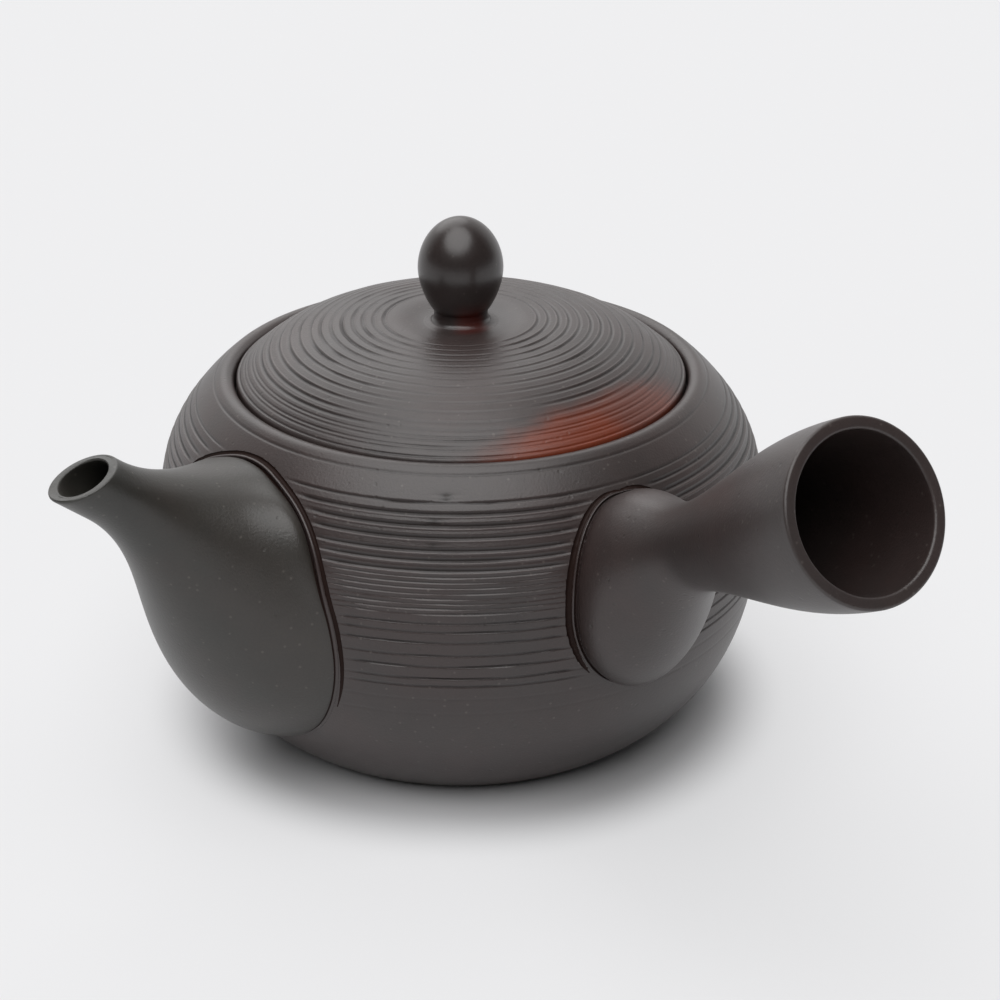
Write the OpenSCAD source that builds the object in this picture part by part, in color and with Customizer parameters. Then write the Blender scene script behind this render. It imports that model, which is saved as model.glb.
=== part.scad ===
// Side-handled teapot of unglazed stoneware, thrown in pieces and luted together, with a loose lid.
// The origin is the centre of the base, +Z is up and the handle points along -Y.

/* [Pot body] */
// Diameter at the widest level
body_d = 112; // [100:1:124]
// Height of the widest level above the base
widest_z = 42.5; // [40:0.5:45]
// Height that the shoulder's curve would reach above the widest level
shoulder_h = 36.9; // [35:0.1:39]
// Fullness of the shoulder's curve, where 2 is an ellipse
shoulder_n = 2.12; // [2:0.02:2.4]
// Depth that the belly's curve would reach below the widest level
belly_h = 49.9; // [48:0.1:54]
// Fullness of the belly's curve
belly_n = 2.68; // [2.4:0.02:3]
// Thickness of the thrown wall
body_wall = 3.2; // [2.4:0.1:4]
// Thickness of the floor
floor_t = 4; // [3:0.1:6]

/* [Comb lines] */
// Depth of a comb line
comb_depth = 0.35; // [0.2:0.05:0.5]
// Width of a comb line
comb_w = 0.7; // [0.5:0.05:0.8]
// Highest line of the shoulder band
comb_shoulder_z = 61.8; // [60.5:0.1:62.5]
// Spacing of the shoulder band
comb_shoulder_pitch = 1.64; // [1.4:0.02:1.66]
// Lines in the shoulder band
comb_shoulder_count = 7; // [3:1:7]
// Highest line of the middle band
comb_middle_z = 51; // [50.5:0.1:51.2]
// Spacing of the middle band
comb_middle_pitch = 0.91; // [0.9:0.01:0.95]
// Lines in the middle band
comb_middle_count = 8; // [3:1:8]
// Highest line of the belly band
comb_belly_z = 42.8; // [42:0.1:43]
// Spacing of the belly band
comb_belly_pitch = 2.05; // [1.6:0.05:2.4]
// Lines in the belly band
comb_belly_count = 7; // [3:1:8]

/* [Rim and lid seat] */
// Height of the rim's crest
rim_z = 66.9; // [66:0.1:68]
// Height of the rim's rounding
rim_round = 1; // [0.6:0.1:1.4]
// Diameter of the mouth, inside the rim
mouth_d = 83.2; // [80:0.2:84]
// Height of the ledge that the lid sits on
ledge_z = 62.6; // [61.5:0.1:63]
// Thickness of the ledge at its inner edge
ledge_t = 3; // [2:0.1:3.5]
// Diameter of the throat, inside the ledge
throat_d = 76; // [72:0.5:77]

/* [Lid] */
// Radial gap between the lid's edge and the rim
lid_gap = 0.4; // [0.3:0.05:0.8]
// Gap between the lid and the ledge
seat_gap = 0.1; // [0.05:0.01:0.2]
// Height of the lid's edge above the ledge
lid_edge_h = 3.3; // [2.6:0.1:4]
// Rise of the lid from its edge to its centre
lid_rise = 10.4; // [8:0.1:12]
// Fullness of the lid's curve
lid_n = 3.8; // [3:0.1:5]
// Thickness of the lid's dome
lid_wall = 3.4; // [3:0.1:4]
// Radial gap between the lid's collar and the throat
collar_gap = 0.5; // [0.3:0.05:1]
// Thickness of the collar
collar_t = 2.8; // [2:0.1:3.5]
// Depth of the collar below the ledge
collar_h = 6; // [4:0.5:8]
// Radius of the innermost comb line on the lid
lid_comb_r = 14; // [13:0.5:18]
// Spacing of the comb lines on the lid
lid_comb_pitch = 1.95; // [1.8:0.05:2.4]
// Lines on the lid
lid_comb_count = 13; // [4:1:13]
// Diameter of the air hole
air_hole_d = 2.6; // [2:0.1:3]
// Distance of the air hole from the centre
air_hole_r = 11; // [10:0.5:12]
// Turn of the air hole, from the handle
air_hole_turn = 148; // [100:1:180]

/* [Knob] */
// Greatest diameter
knob_d = 15.5; // [13:0.1:18]
// Height of the whole knob
knob_h = 18.9; // [18:0.1:22]
// Height of the egg from its widest level to its top
knob_top_h = 10; // [9:0.1:11]
// Diameter of the neck
knob_neck_d = 10; // [8:0.1:11]
// Diameter of the foot
knob_foot_d = 11.6; // [11.2:0.1:13]
// Height of the foot's flare
knob_foot_h = 1.3; // [0.8:0.1:1.6]

/* [Spout] */
// Turn from the handle to the spout, seen from above
spout_turn = 79; // [75:0.5:90]
// Tilt of the spout's axis above the horizontal
spout_tilt = 39.6; // [37:0.2:42]
// Height at which the spout's axis meets the pot's axis
spout_z = 1.4; // [0:0.1:3]
// Length of the spout's axis, from the pot's axis to the middle of the mouth
spout_len = 108; // [102:0.5:114]
// Radius of the swelling root
spout_root_r = 26.3; // [24:0.1:27]
// How much fuller the root is at its two upper sides
spout_shoulder = 2; // [0:0.1:2.4]
// Angle above the level at which it is fullest
spout_shoulder_a = 27; // [20:1:40]
// Angle over which that fullness fades away
spout_shoulder_span = 42; // [30:1:50]
// Radius of the lip
spout_lip_r = 5.5; // [5:0.1:7]
// Place on the axis where the root starts to draw in
spout_swell_s = 51.5; // [48:0.5:54]
// How fast the root draws in again under its swelling
spout_tuck = 0.03; // [0.02:0.002:0.04]
// How far the root's edge is rounded in towards its seam
spout_root_round = 1.1; // [0.8:0.1:1.4]
// Length of the straight lip
spout_lip_len = 5; // [4.5:0.5:8]
// Wall at the root
spout_root_wall = 2.8; // [2:0.1:3.4]
// Wall at the lip
spout_lip_wall = 1.5; // [1.2:0.1:2]
// Tilt of the mouth's face above the horizontal
spout_mouth_tilt = 70; // [60:1:75]
// Turn of the mouth's face away from the spout, to the far side
spout_mouth_turn = 7.4; // [0:0.2:10]

/* [Handle] */
// Tilt of the handle's axis above the horizontal
handle_tilt = 29; // [26:0.2:31]
// Height at which the handle's axis meets the pot's axis
handle_z = 19.9; // [18:0.1:21]
// Length of the handle's axis, from the pot's axis to the mouth
handle_len = 130.7; // [122:0.5:140]
// Radius of the neck
handle_neck_r = 7; // [6.5:0.1:8]
// Radius of the mouth
handle_mouth_r = 14.45; // [12:0.05:16]
// Place on the axis where the neck is thinnest
handle_neck_s = 78; // [76:0.5:82]
// Place on the axis where the root's dome ends
handle_dome_s = 88; // [86:0.5:92]
// Length of the straight lip at the mouth
handle_lip_len = 2; // [1:0.5:4]
// Wall of the handle
handle_wall = 2.1; // [1.8:0.1:2.6]
// Height of the middle of the root
handle_root_z = 43.5; // [41:0.5:45]
// Turn of the root from the handle's own plane
handle_root_turn = 1.5; // [0:0.1:2]
// Half of the root's width
handle_root_w = 12.4; // [11:0.1:14]
// Half of the root's height
handle_root_h = 16.8; // [15:0.1:18]
// Squareness of the root's upper half, where 2 is an ellipse
handle_root_n = 2.3; // [2:0.1:2.6]
// Squareness of the root's lower half
handle_root_low_n = 1.95; // [1.8:0.05:2.4]
// How far the dome stands out before it turns into the neck
handle_dome_h = 9.5; // [7:0.1:11]
// How far back the neck's line reaches into the dome
handle_neck_pull = 12; // [9:0.1:14]

/* [Luting] */
// Thin gap left for the slip between luted pieces
lute_gap = 0.05; // [0.03:0.01:0.08]
// Width of a slip bead
bead_w = 1.1; // [0.8:0.1:1.5]
// Height of a slip bead
bead_h = 0.9; // [0.6:0.05:1.2]
// Share of the bead's height that fades away at the bottom
bead_fade = 0.7; // [0:0.05:0.8]
// Height of the slip ring round the knob's foot
knob_bead_h = 0.6; // [0.4:0.05:0.8]

/* [Strainer] */
// Height of the strainer's middle
strainer_z = 40; // [36:0.5:44]
// Radius of the dome
strainer_r = 18; // [17:0.5:20]
// How far the dome reaches into the pot from the wall at its middle
strainer_depth = 10; // [9:0.5:12]
// Wall of the dome
strainer_wall = 2; // [1.6:0.1:2.6]
// Diameter of the hole through the pot's wall behind it
outlet_d = 22; // [18:0.5:24]
// Diameter of a strainer hole
pierce_d = 1.7; // [1.4:0.1:2]
// Spacing of the strainer holes
pierce_pitch = 3.2; // [2.8:0.1:3.4]
// Rings of strainer holes round the middle one
pierce_rings = 3; // [2:1:3]
// Holes that each ring has more than the one inside it
pierce_more = 6; // [4:1:6]

/* [Hidden] */
round_fn = 96;
small_fn = 24;
curve_steps = 28;
lid_steps = 24;
knob_steps = 24;
rim_steps = 6;
turn_steps = 48;
bead_steps = 96;
spout_steps = 14;
root_share = 0.04;
dome_steps = 10;
tube_steps = 8;
halvings = 24;
slope_step = 0.05;
cut_past = 1;

clay_dark = [0.27, 0.255, 0.25];
clay_lid = [0.33, 0.315, 0.31];
clay_seam = [0.22, 0.19, 0.18];

mouth_r = mouth_d / 2;
throat_r = throat_d / 2;
lid_r = mouth_r - lid_gap;
lid_seat_z = ledge_z + seat_gap;
lid_edge_z = lid_seat_z + lid_edge_h;
lid_top_z = lid_edge_z + lid_rise;
collar_r = throat_r - collar_gap;
knob_z = lid_top_z + lute_gap;
knob_mid_z = knob_z + knob_h - knob_top_h;
spout_neck_s = spout_len - spout_lip_len;
spout_closed_s = spout_swell_s - sqrt(spout_root_r / spout_tuck);
handle_flare_s = handle_len - handle_lip_len;

// Outer radius of the pot at a height
function body_r(z) =
  z > widest_z
    ? body_d / 2 * pow(1 - pow((z - widest_z) / shoulder_h, shoulder_n), 1 / shoulder_n)
    : body_d / 2 * pow(1 - pow((widest_z - z) / belly_h, belly_n), 1 / belly_n);

// Change of the pot's radius with height
function body_slope(z) = (body_r(z + slope_step) - body_r(z - slope_step)) / (2 * slope_step);

// Outward normal of the pot's surface at a turn and a height
function body_normal(turn, z) =
  let (n = [sin(turn), -cos(turn), -body_slope(z)])
  n / norm(n);

// Point on the pot's surface, lifted off it along the normal
function on_body(turn, z, lift) =
  [body_r(z) * sin(turn), -body_r(z) * cos(turn), z] + lift * body_normal(turn, z);

// Heights of the comb lines, band by band from the top
function band(top, pitch, count) = [for (i = [0 : count - 1]) top - i * pitch];
comb_lines = concat(
  band(comb_shoulder_z, comb_shoulder_pitch, comb_shoulder_count),
  band(comb_middle_z, comb_middle_pitch, comb_middle_count),
  band(comb_belly_z, comb_belly_pitch, comb_belly_count)
);

// Smooth step from 1 down to 0 between two places
function ease(s, from, to) = (1 + cos(180 * min(max((s - from) / (to - from), 0), 1))) / 2;

// Unit vectors of a slanting axis: along it, to its side and up across it
function along(turn, tilt) = [sin(turn) * cos(tilt), -cos(turn) * cos(tilt), sin(tilt)];
function aside(turn) = [cos(turn), sin(turn), 0];
function across(turn, tilt) = cross(along(turn, tilt), aside(turn));

// Point of a slanting round form: place along its axis, radius and angle round it
function ring_point(turn, tilt, z, s, r, a) =
  [0, 0, z] + s * along(turn, tilt) + r * (cos(a) * aside(turn) + sin(a) * across(turn, tilt));

// Closed skin over rings of points, joined round both ways
module ring_skin(rings) {
  m = len(rings);
  n = len(rings[0]);
  points = [for (ring = rings) for (p = ring) p];
  faces = [
    for (i = [0 : m - 1])
    for (j = [0 : n - 1])
    let (a = i * n + j, b = i * n + (j + 1) % n)
    let (c = ((i + 1) % m) * n + (j + 1) % n, d = ((i + 1) % m) * n + j)
    for (f = [[a, c, b], [a, d, c]]) f
  ];
  polyhedron(points, faces);
}

// Half section of the pot's outside, from the base up to the rim, with the comb lines in it
outer_foot = [for (i = [0 : curve_steps]) i / curve_steps * (min(comb_lines) - comb_w)];
outer_lines = [
  for (i = [len(comb_lines) - 1 : -1 : 0])
  for (k = [-1, 0, 1])
  [comb_lines[i] + k * comb_w / 2, k == 0 ? comb_depth : 0]
];
rim_edge_z = rim_z - rim_round;
rim_out_r = body_r(rim_edge_z);
rim_mid_r = (rim_out_r + mouth_r) / 2;
rim_half = (rim_out_r - mouth_r) / 2;
outer_top = [for (i = [1 : rim_steps]) let (t = i / rim_steps)
  max(comb_lines) + comb_w + t * (rim_edge_z - max(comb_lines) - comb_w)];
body_outline = concat(
  [for (z = outer_foot) [body_r(z), z]],
  [for (line = outer_lines) [body_r(line[0]) - line[1], line[0]]],
  [for (z = outer_top) [body_r(z), z]],
  [for (i = [1 : rim_steps]) let (a = 180 * i / rim_steps)
    [rim_mid_r + rim_half * cos(a), rim_edge_z + rim_round * sin(a)]]
);

// Half section of the hollow, from the floor up to the underside of the ledge
hollow_top_z = ledge_z - ledge_t;
function hollow_r(z) = body_r(z) - body_wall * sqrt(1 + pow(body_slope(z), 2));
hollow_side = [for (i = [0 : curve_steps]) let (z = floor_t + i / curve_steps * (hollow_top_z - floor_t))
  [hollow_r(z), z]];

// Smooth hollow of the pot, drawn in by a clearance
module hollow(clear) {
  rotate_extrude($fn = round_fn)
    polygon(concat(
      [[0, floor_t + clear]],
      [for (p = hollow_side) [p[0] - clear, max(p[1], floor_t + clear)]],
      [[0, hollow_top_z]]
    ));
}

// Round hole through the wall, level and in line with the spout
module outlet() {
  rotate([0, 0, -spout_turn]) translate([0, 0, strainer_z]) rotate([90, 0, 0])
    cylinder(d = outlet_d, h = body_d / 2 + cut_past, $fn = round_fn);
}

module pot_body() color(clay_dark) {
  difference() {
    rotate_extrude($fn = round_fn)
      polygon(concat(
        [[0, 0]],
        body_outline,
        [[mouth_r, ledge_z], [throat_r, ledge_z], [throat_r, hollow_top_z]],
        [for (i = [curve_steps : -1 : 0]) hollow_side[i]],
        [[0, floor_t]]
      ));
    outlet();
  }
}

// The spout is a round form on a slanting axis that swells towards the pot and stops on its wall
function spout_swell(s) = ease(s, spout_swell_s, spout_neck_s);
function spout_fuller(a) =
  spout_shoulder * ease(abs(asin(sin(a)) - spout_shoulder_a), 0, spout_shoulder_span);
function spout_r(s, a) =
  spout_lip_r + (spout_root_r + spout_fuller(a) - spout_lip_r) * spout_swell(s)
  - spout_tuck * pow(max(spout_swell_s - s, 0), 2);
function spout_wall(s) = spout_lip_wall + (spout_root_wall - spout_lip_wall) * spout_swell(s);

// Point of the spout, with its radius grown by walls and by a margin
function spout_point(s, a, walls, out) =
  ring_point(-spout_turn, spout_tilt, spout_z, s, spout_r(s, a) + walls * spout_wall(s) + out, a);

// Height of a point above the pot's surface, measured level
function off_body(p) = norm([p[0], p[1]]) - body_r(max(p[2], 0)) - lute_gap;

// Place on the spout's axis where one of its lines reaches the pot's wall, found by halving
function spout_meet(a, walls, out, low, high, left) =
  let (mid = (low + high) / 2)
  left == 0 ? mid
  : off_body(spout_point(mid, a, walls, out)) > 0
    ? spout_meet(a, walls, out, low, mid, left - 1)
    : spout_meet(a, walls, out, mid, high, left - 1);
function spout_start(a, walls, out) = spout_meet(a, walls, out, spout_closed_s, spout_neck_s, halvings);

// Place on the axis where a line of the spout reaches the slanting mouth
mouth_normal = along(-spout_turn - spout_mouth_turn, spout_mouth_tilt);
function spout_end(a, walls) =
  let (r = spout_lip_r + walls * spout_lip_wall)
  let (e = cos(a) * aside(-spout_turn) + sin(a) * across(-spout_turn, spout_tilt))
  spout_len - r * (mouth_normal * e) / (mouth_normal * along(-spout_turn, spout_tilt));
function spout_ring(t, walls) = [
  for (j = [0 : turn_steps - 1])
  let (a = 360 * j / turn_steps, s0 = spout_start(a, walls, 0))
  spout_point(s0 + t * (spout_end(a, walls) - s0), a, walls, 0)
];
function spout_edge(out) = [
  for (j = [0 : turn_steps - 1])
  let (a = 360 * j / turn_steps)
  spout_point(spout_start(a, 0, out), a, 0, out)
];

module spout() color(clay_dark)
  ring_skin(concat(
    [spout_edge(-spout_root_round)],
    [for (i = [0 : spout_steps]) spout_ring(root_share + (1 - root_share) * i / spout_steps, 0)],
    [for (i = [spout_steps : -1 : 0]) spout_ring(i / spout_steps, -1)]
  ));

// Section of a slip bead: distance out from the root and height over the pot, as shares of its size
bead_section = [[0, 0], [1, 0], [0.92, 0.6], [0.72, 1], [0.5, 0.8]];
function bead_height(a) = bead_h * (1 - bead_fade * (1 - sin(a)) / 2);
function lifted(p, lift) = let (turn = atan2(p[0], -p[1])) p + lift * body_normal(turn, p[2]);

module spout_seam() color(clay_seam)
  ring_skin([
    for (k = bead_section) [
      for (j = [0 : bead_steps - 1])
      let (a = 360 * j / bead_steps, out = lute_gap - spout_root_round + k[0] * bead_w)
      lifted(spout_point(spout_start(a, 0, out), a, 0, out), k[1] * bead_height(a))
    ]
  ]);

// The handle's root is an oval on the pot's wall, grown by a margin
function root_point(a, out, lift) =
  let (n = sin(a) > 0 ? handle_root_n : handle_root_low_n)
  let (k = pow(pow(abs(cos(a)), n) + pow(abs(sin(a)), n), -1 / n))
  let (turn = handle_root_turn + (handle_root_w + out) * k * cos(a) / (body_d / 2) * 180 / PI)
  on_body(turn, handle_root_z + (handle_root_h + out) * k * sin(a), lute_gap + lift);
function handle_r(s) =
  handle_mouth_r + (handle_neck_r - handle_mouth_r) * ease(s, handle_neck_s, handle_flare_s);
function handle_point(s, a, out) = ring_point(0, handle_tilt, handle_z, s, handle_r(s) + out, a);

// One line of the dome, a curve from the root's edge to the neck
function dome_point(t, a, out) =
  let (p0 = root_point(a, out, 0), p3 = handle_point(handle_dome_s, a, out))
  let (back = handle_point(handle_dome_s - slope_step, a, out) - p3)
  let (p1 = root_point(a, out, handle_dome_h), p2 = p3 + handle_neck_pull * back / norm(back))
  pow(1 - t, 3) * p0 + 3 * t * pow(1 - t, 2) * p1 + 3 * t * t * (1 - t) * p2 + pow(t, 3) * p3;
function dome_ring(t, out) = [for (j = [0 : turn_steps - 1]) dome_point(t, 360 * j / turn_steps, out)];
function tube_ring(t, out) = [for (j = [0 : turn_steps - 1])
  handle_point(handle_dome_s + t * (handle_len - handle_dome_s), 360 * j / turn_steps, out)];
function handle_rings(out) = concat(
  [for (i = [0 : dome_steps - 1]) dome_ring(i / dome_steps, out)],
  [for (i = [0 : tube_steps]) tube_ring(i / tube_steps, out)]
);
function backwards(list) = [for (i = [len(list) - 1 : -1 : 0]) list[i]];

module handle() color(clay_dark)
  ring_skin(concat(handle_rings(0), backwards(handle_rings(-handle_wall))));

module handle_seam() color(clay_seam)
  ring_skin([
    for (k = bead_section) [
      for (j = [0 : bead_steps - 1])
      let (a = 360 * j / bead_steps)
      root_point(a, lute_gap + k[0] * bead_w, k[1] * bead_height(a))
    ]
  ]);

// Pierced dome inside the wall, over the outlet
strainer_mid = hollow_r(strainer_z) - strainer_depth + strainer_r;
module strainer() color(clay_lid)
  difference() {
    intersection() {
      rotate([0, 0, -spout_turn]) translate([0, -strainer_mid, strainer_z])
        difference() {
          sphere(r = strainer_r, $fn = round_fn);
          sphere(r = strainer_r - strainer_wall, $fn = round_fn);
        }
      hollow(lute_gap);
    }
    rotate([0, 0, -spout_turn]) translate([0, -strainer_mid, strainer_z])
      for (ring = [0 : pierce_rings])
        for (i = [0 : max(ring * pierce_more, 1) - 1]) {
          a = ring == 0 ? 0 : 360 * i / (ring * pierce_more);
          translate([ring * pierce_pitch * cos(a), 0, ring * pierce_pitch * sin(a)])
            rotate([-90, 0, 0]) cylinder(d = pierce_d, h = strainer_r + cut_past, $fn = small_fn);
        }
  }

// Height of the lid's top at a radius, with its comb lines
function lid_z(r) = lid_top_z - lid_rise * pow(r / lid_r, lid_n);
lid_smooth = [for (i = [0 : lid_steps - 1]) i / lid_steps * (lid_comb_r - comb_w)];
lid_lines = [
  for (i = [0 : lid_comb_count - 1])
  for (k = [-1, 0, 1])
  [lid_comb_r + i * lid_comb_pitch + k * comb_w / 2, k == 0 ? comb_depth : 0]
];
lid_outline = concat(
  [for (r = lid_smooth) [r, lid_z(r)]],
  [for (line = lid_lines) [line[0], lid_z(line[0]) - line[1]]],
  [[lid_r, lid_z(lid_r)], [lid_r, lid_seat_z]]
);
lid_under = [for (i = [lid_steps : -1 : 0]) let (r = i / lid_steps * (collar_r - collar_t))
  [r, lid_z(r) - lid_wall]];

module lid() color(clay_lid)
  difference() {
    rotate_extrude($fn = round_fn)
      polygon(concat(
        lid_outline,
        [[collar_r, lid_seat_z], [collar_r, ledge_z - collar_h]],
        [[collar_r - collar_t, ledge_z - collar_h]],
        lid_under
      ));
    rotate([0, 0, air_hole_turn]) translate([0, -air_hole_r, ledge_z])
      cylinder(d = air_hole_d, h = seat_gap + lid_edge_h + lid_rise + cut_past, $fn = small_fn);
  }

// Egg-shaped knob on a short neck with a flared foot
knob_r = knob_d / 2;
knob_neck_r = knob_neck_d / 2;
knob_foot_r = knob_foot_d / 2;
knob_neck_a = -acos(knob_neck_r / knob_r);
module lid_knob() color(clay_dark)
  rotate_extrude($fn = round_fn)
    polygon(concat(
      [[0, knob_z], [knob_foot_r, knob_z]],
      [for (i = [1 : rim_steps]) let (a = 90 * i / rim_steps)
        [knob_foot_r - (knob_foot_r - knob_neck_r) * sin(a), knob_z + knob_foot_h * (1 - cos(a))]],
      [for (i = [0 : knob_steps]) let (a = knob_neck_a + (90 - knob_neck_a) * i / knob_steps)
        [i == knob_steps ? 0 : knob_r * cos(a), knob_mid_z + knob_top_h * sin(a)]]
    ));

// Ring of slip in the corner round the knob's foot, as shares of its width and height
knob_bead_section = [[0, 0], [1, 0], [0.5, 0.7], [0, 1]];
module knob_seam() color(clay_seam)
  rotate_extrude($fn = round_fn)
    polygon([
      for (k = knob_bead_section)
      [knob_foot_r + lute_gap + k[0] * bead_w, knob_z + k[1] * knob_bead_h]
    ]);

pot_body();
spout();
spout_seam();
handle();
handle_seam();
strainer();
lid();
lid_knob();
knob_seam();
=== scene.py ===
# %% [markdown]
# # A side-handled teapot of unglazed stoneware
# This lesson dresses the nine solids of a small Japanese teapot, the kind with a hollow side handle.
# The pot is thrown on a wheel, combed while it turns, and luted together with slip before it is fired.
# Each step says what a piece or a finish is, how it could be made, and why this way was chosen.

# %% Load the frame and keep its size
import math

import bmesh
import bpy
import numpy as np
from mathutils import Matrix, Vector
from mathutils.kdtree import KDTree


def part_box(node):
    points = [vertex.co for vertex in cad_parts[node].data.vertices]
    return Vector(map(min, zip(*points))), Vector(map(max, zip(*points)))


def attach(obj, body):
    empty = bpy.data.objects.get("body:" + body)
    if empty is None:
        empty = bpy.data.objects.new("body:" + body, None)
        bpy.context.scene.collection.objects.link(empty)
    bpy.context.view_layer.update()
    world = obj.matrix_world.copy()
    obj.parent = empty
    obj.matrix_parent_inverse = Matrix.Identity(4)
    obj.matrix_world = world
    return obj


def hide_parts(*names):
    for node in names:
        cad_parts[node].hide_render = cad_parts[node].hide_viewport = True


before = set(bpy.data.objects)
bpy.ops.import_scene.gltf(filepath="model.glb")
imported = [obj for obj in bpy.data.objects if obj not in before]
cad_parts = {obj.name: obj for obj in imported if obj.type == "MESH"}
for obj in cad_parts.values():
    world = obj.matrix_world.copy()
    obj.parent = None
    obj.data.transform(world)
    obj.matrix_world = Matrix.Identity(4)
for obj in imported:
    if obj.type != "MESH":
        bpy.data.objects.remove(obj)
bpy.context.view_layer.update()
MM = 0.001
scene = bpy.context.scene


def box_mm(node):
    """Lowest and highest corner of a solid, in millimetres."""
    return [np.array(corner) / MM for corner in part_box(node)]


# %% [markdown]
# ## The camera
# The photograph was taken from above the table, a little to the left of the handle, with a long lens.
# A long lens keeps the ovals of the rim and the lid calm.
# A camera can be set by eye, but this one was fitted to the photo's outlines, so that both can be compared.

# %% Set the camera
CAMERA_MM = (-219.78, -364.58, 240.84)
CAMERA_DIP = 25.32
CAMERA_TURN = -32.04
LENS_MM = 90
SENSOR_MM = 36

camera_data = bpy.data.cameras.new("camera")
camera_data.lens = LENS_MM
camera_data.sensor_width = SENSOR_MM
camera = bpy.data.objects.new("camera", camera_data)
camera.location = Vector(CAMERA_MM) * MM
camera.rotation_euler = [math.radians(angle) for angle in (90 - CAMERA_DIP, 0, CAMERA_TURN)]
scene.collection.objects.link(camera)
scene.camera = camera
print("camera at", [round(v, 4) for v in camera.location])

# %% [markdown]
# ## Small tools
# A node tree reads best when each line adds one node, so a few helpers put nodes in and wire them up.
# The same helpers serve the geometry trees and the shader trees.
# The mesh helpers skin rings of points, run a tree on a piece, cut one piece with another, and hand it over.

# %% Helpers for node trees
def put(tree, kind, inputs=None, **settings):
    """Adds a node, sets it up, and fills its inputs with values or with other nodes' outputs."""
    node = tree.nodes.new(kind)
    for key, value in settings.items():
        setattr(node, key, value)
    for key, value in (inputs or {}).items():
        if isinstance(value, bpy.types.NodeSocket):
            tree.links.new(value, node.inputs[key])
        else:
            node.inputs[key].default_value = value
    return node


def calc(tree, operation, *values):
    """The answer of a Math node."""
    return put(tree, "ShaderNodeMath", dict(enumerate(values)), operation=operation).outputs[0]


def product(tree, first, *others):
    """Several values multiplied."""
    for value in others:
        first = calc(tree, "MULTIPLY", first, value)
    return first


def smooth(tree, value, low, high, at_low=0.0, at_high=1.0):
    """A soft step of a value, from at_low below the first limit to at_high above the second."""
    sockets = dict(enumerate((value, low, high, at_low, at_high)))
    return put(tree, "ShaderNodeMapRange", sockets, interpolation_type="SMOOTHSTEP").outputs[0]


def noise(tree, vector, scale, detail):
    """Smooth noise between 0 and 1."""
    node = put(tree, "ShaderNodeTexNoise", {"Vector": vector, "Scale": scale, "Detail": detail})
    return node.outputs[0]


def paint(tree, factor, first, second, how="MIX"):
    """One colour laid over another."""
    node = put(tree, "ShaderNodeMix", {0: factor, 6: first, 7: second}, data_type="RGBA", blend_type=how)
    return node.outputs[2]


def around_axis(tree, place):
    """Distance from the pot's axis, turn from the handle, and height of a place."""
    parts = put(tree, "ShaderNodeSeparateXYZ", {0: place}).outputs
    squares = [calc(tree, "POWER", parts[i], 2.0) for i in (0, 1)]
    radius = calc(tree, "SQRT", calc(tree, "ADD", *squares))
    turn = calc(tree, "ARCTAN2", parts[0], calc(tree, "MULTIPLY", parts[1], -1.0))
    return radius, turn, parts[2]


def new_tree(name, kind, inputs, outputs):
    """A node group with named sockets, with the outputs of its input node and its output node."""
    tree = bpy.data.node_groups.new(name, kind)
    for label, socket_type in inputs.items():
        tree.interface.new_socket(label, in_out="INPUT", socket_type="NodeSocket" + socket_type)
    for label, socket_type in outputs.items():
        tree.interface.new_socket(label, in_out="OUTPUT", socket_type="NodeSocket" + socket_type)
    return tree, put(tree, "NodeGroupInput").outputs, put(tree, "NodeGroupOutput")


def end_tree(tree, source, sink, made):
    """Ends a geometry tree with real faces and a finish."""
    made = put(tree, "GeometryNodeRealizeInstances", {0: made}).outputs[0]
    made = put(tree, "GeometryNodeSetMaterial", {0: made, "Material": source["Material"]}).outputs[0]
    tree.links.new(made, sink.inputs["Geometry"])


# %% Helpers for meshes
SHARP_ANGLE = 40


def new_piece(name, points_mm, faces, edges=()):
    """A mesh object at the origin, made of points in millimetres."""
    mesh = bpy.data.meshes.new(name)
    mesh.from_pydata((np.asarray(points_mm) * MM).tolist(), list(edges), faces)
    piece = bpy.data.objects.new(name, mesh)
    scene.collection.objects.link(piece)
    return piece


def face_outwards(piece):
    """Turns all faces of a closed skin outwards."""
    work = bmesh.new()
    work.from_mesh(piece.data)
    bmesh.ops.recalc_face_normals(work, faces=work.faces)
    work.to_mesh(piece.data)
    work.free()


def ring_piece(name, rings, capped=False):
    """Skin over rings of points, joined round both ways, or closed by a cap at each end."""
    rings = np.asarray(rings)
    count, sides = rings.shape[:2]
    last = count - 1 if capped else count
    i, j = np.meshgrid(np.arange(last), np.arange(sides), indexing="ij")
    here, there = i * sides, (i + 1) % count * sides
    beside = (j + 1) % sides
    faces = np.stack([here + j, there + j, there + beside, here + beside], axis=-1).reshape(-1, 4).tolist()
    if capped:
        faces += [list(range(sides)), list(range((count - 1) * sides, count * sides))]
    piece = new_piece(name, rings.reshape(-1, 3), faces)
    face_outwards(piece)
    return piece


def settle(piece):
    """Turns a piece with modifiers into a plain mesh."""
    graph = bpy.context.evaluated_depsgraph_get()
    made = bpy.data.meshes.new_from_object(piece.evaluated_get(graph), depsgraph=graph)
    made.name = piece.name
    piece.modifiers.clear()
    piece.data = made


def run_nodes(piece, tree, values):
    """Runs a geometry tree on a piece with the given inputs, and keeps the mesh it makes."""
    modifier = piece.modifiers.new(tree.name, "NODES")
    modifier.node_group = tree
    for item in tree.interface.items_tree:
        if item.in_out == "INPUT" and item.name in values:
            modifier[item.identifier] = values[item.name]
    settle(piece)


def carve(piece, cutter):
    """Cuts one closed mesh out of another and drops the cutter."""
    modifier = piece.modifiers.new("carve", "BOOLEAN")
    modifier.operation = "DIFFERENCE"
    modifier.solver = "MANIFOLD"
    modifier.object = cutter
    settle(piece)
    bpy.data.objects.remove(cutter)


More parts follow.
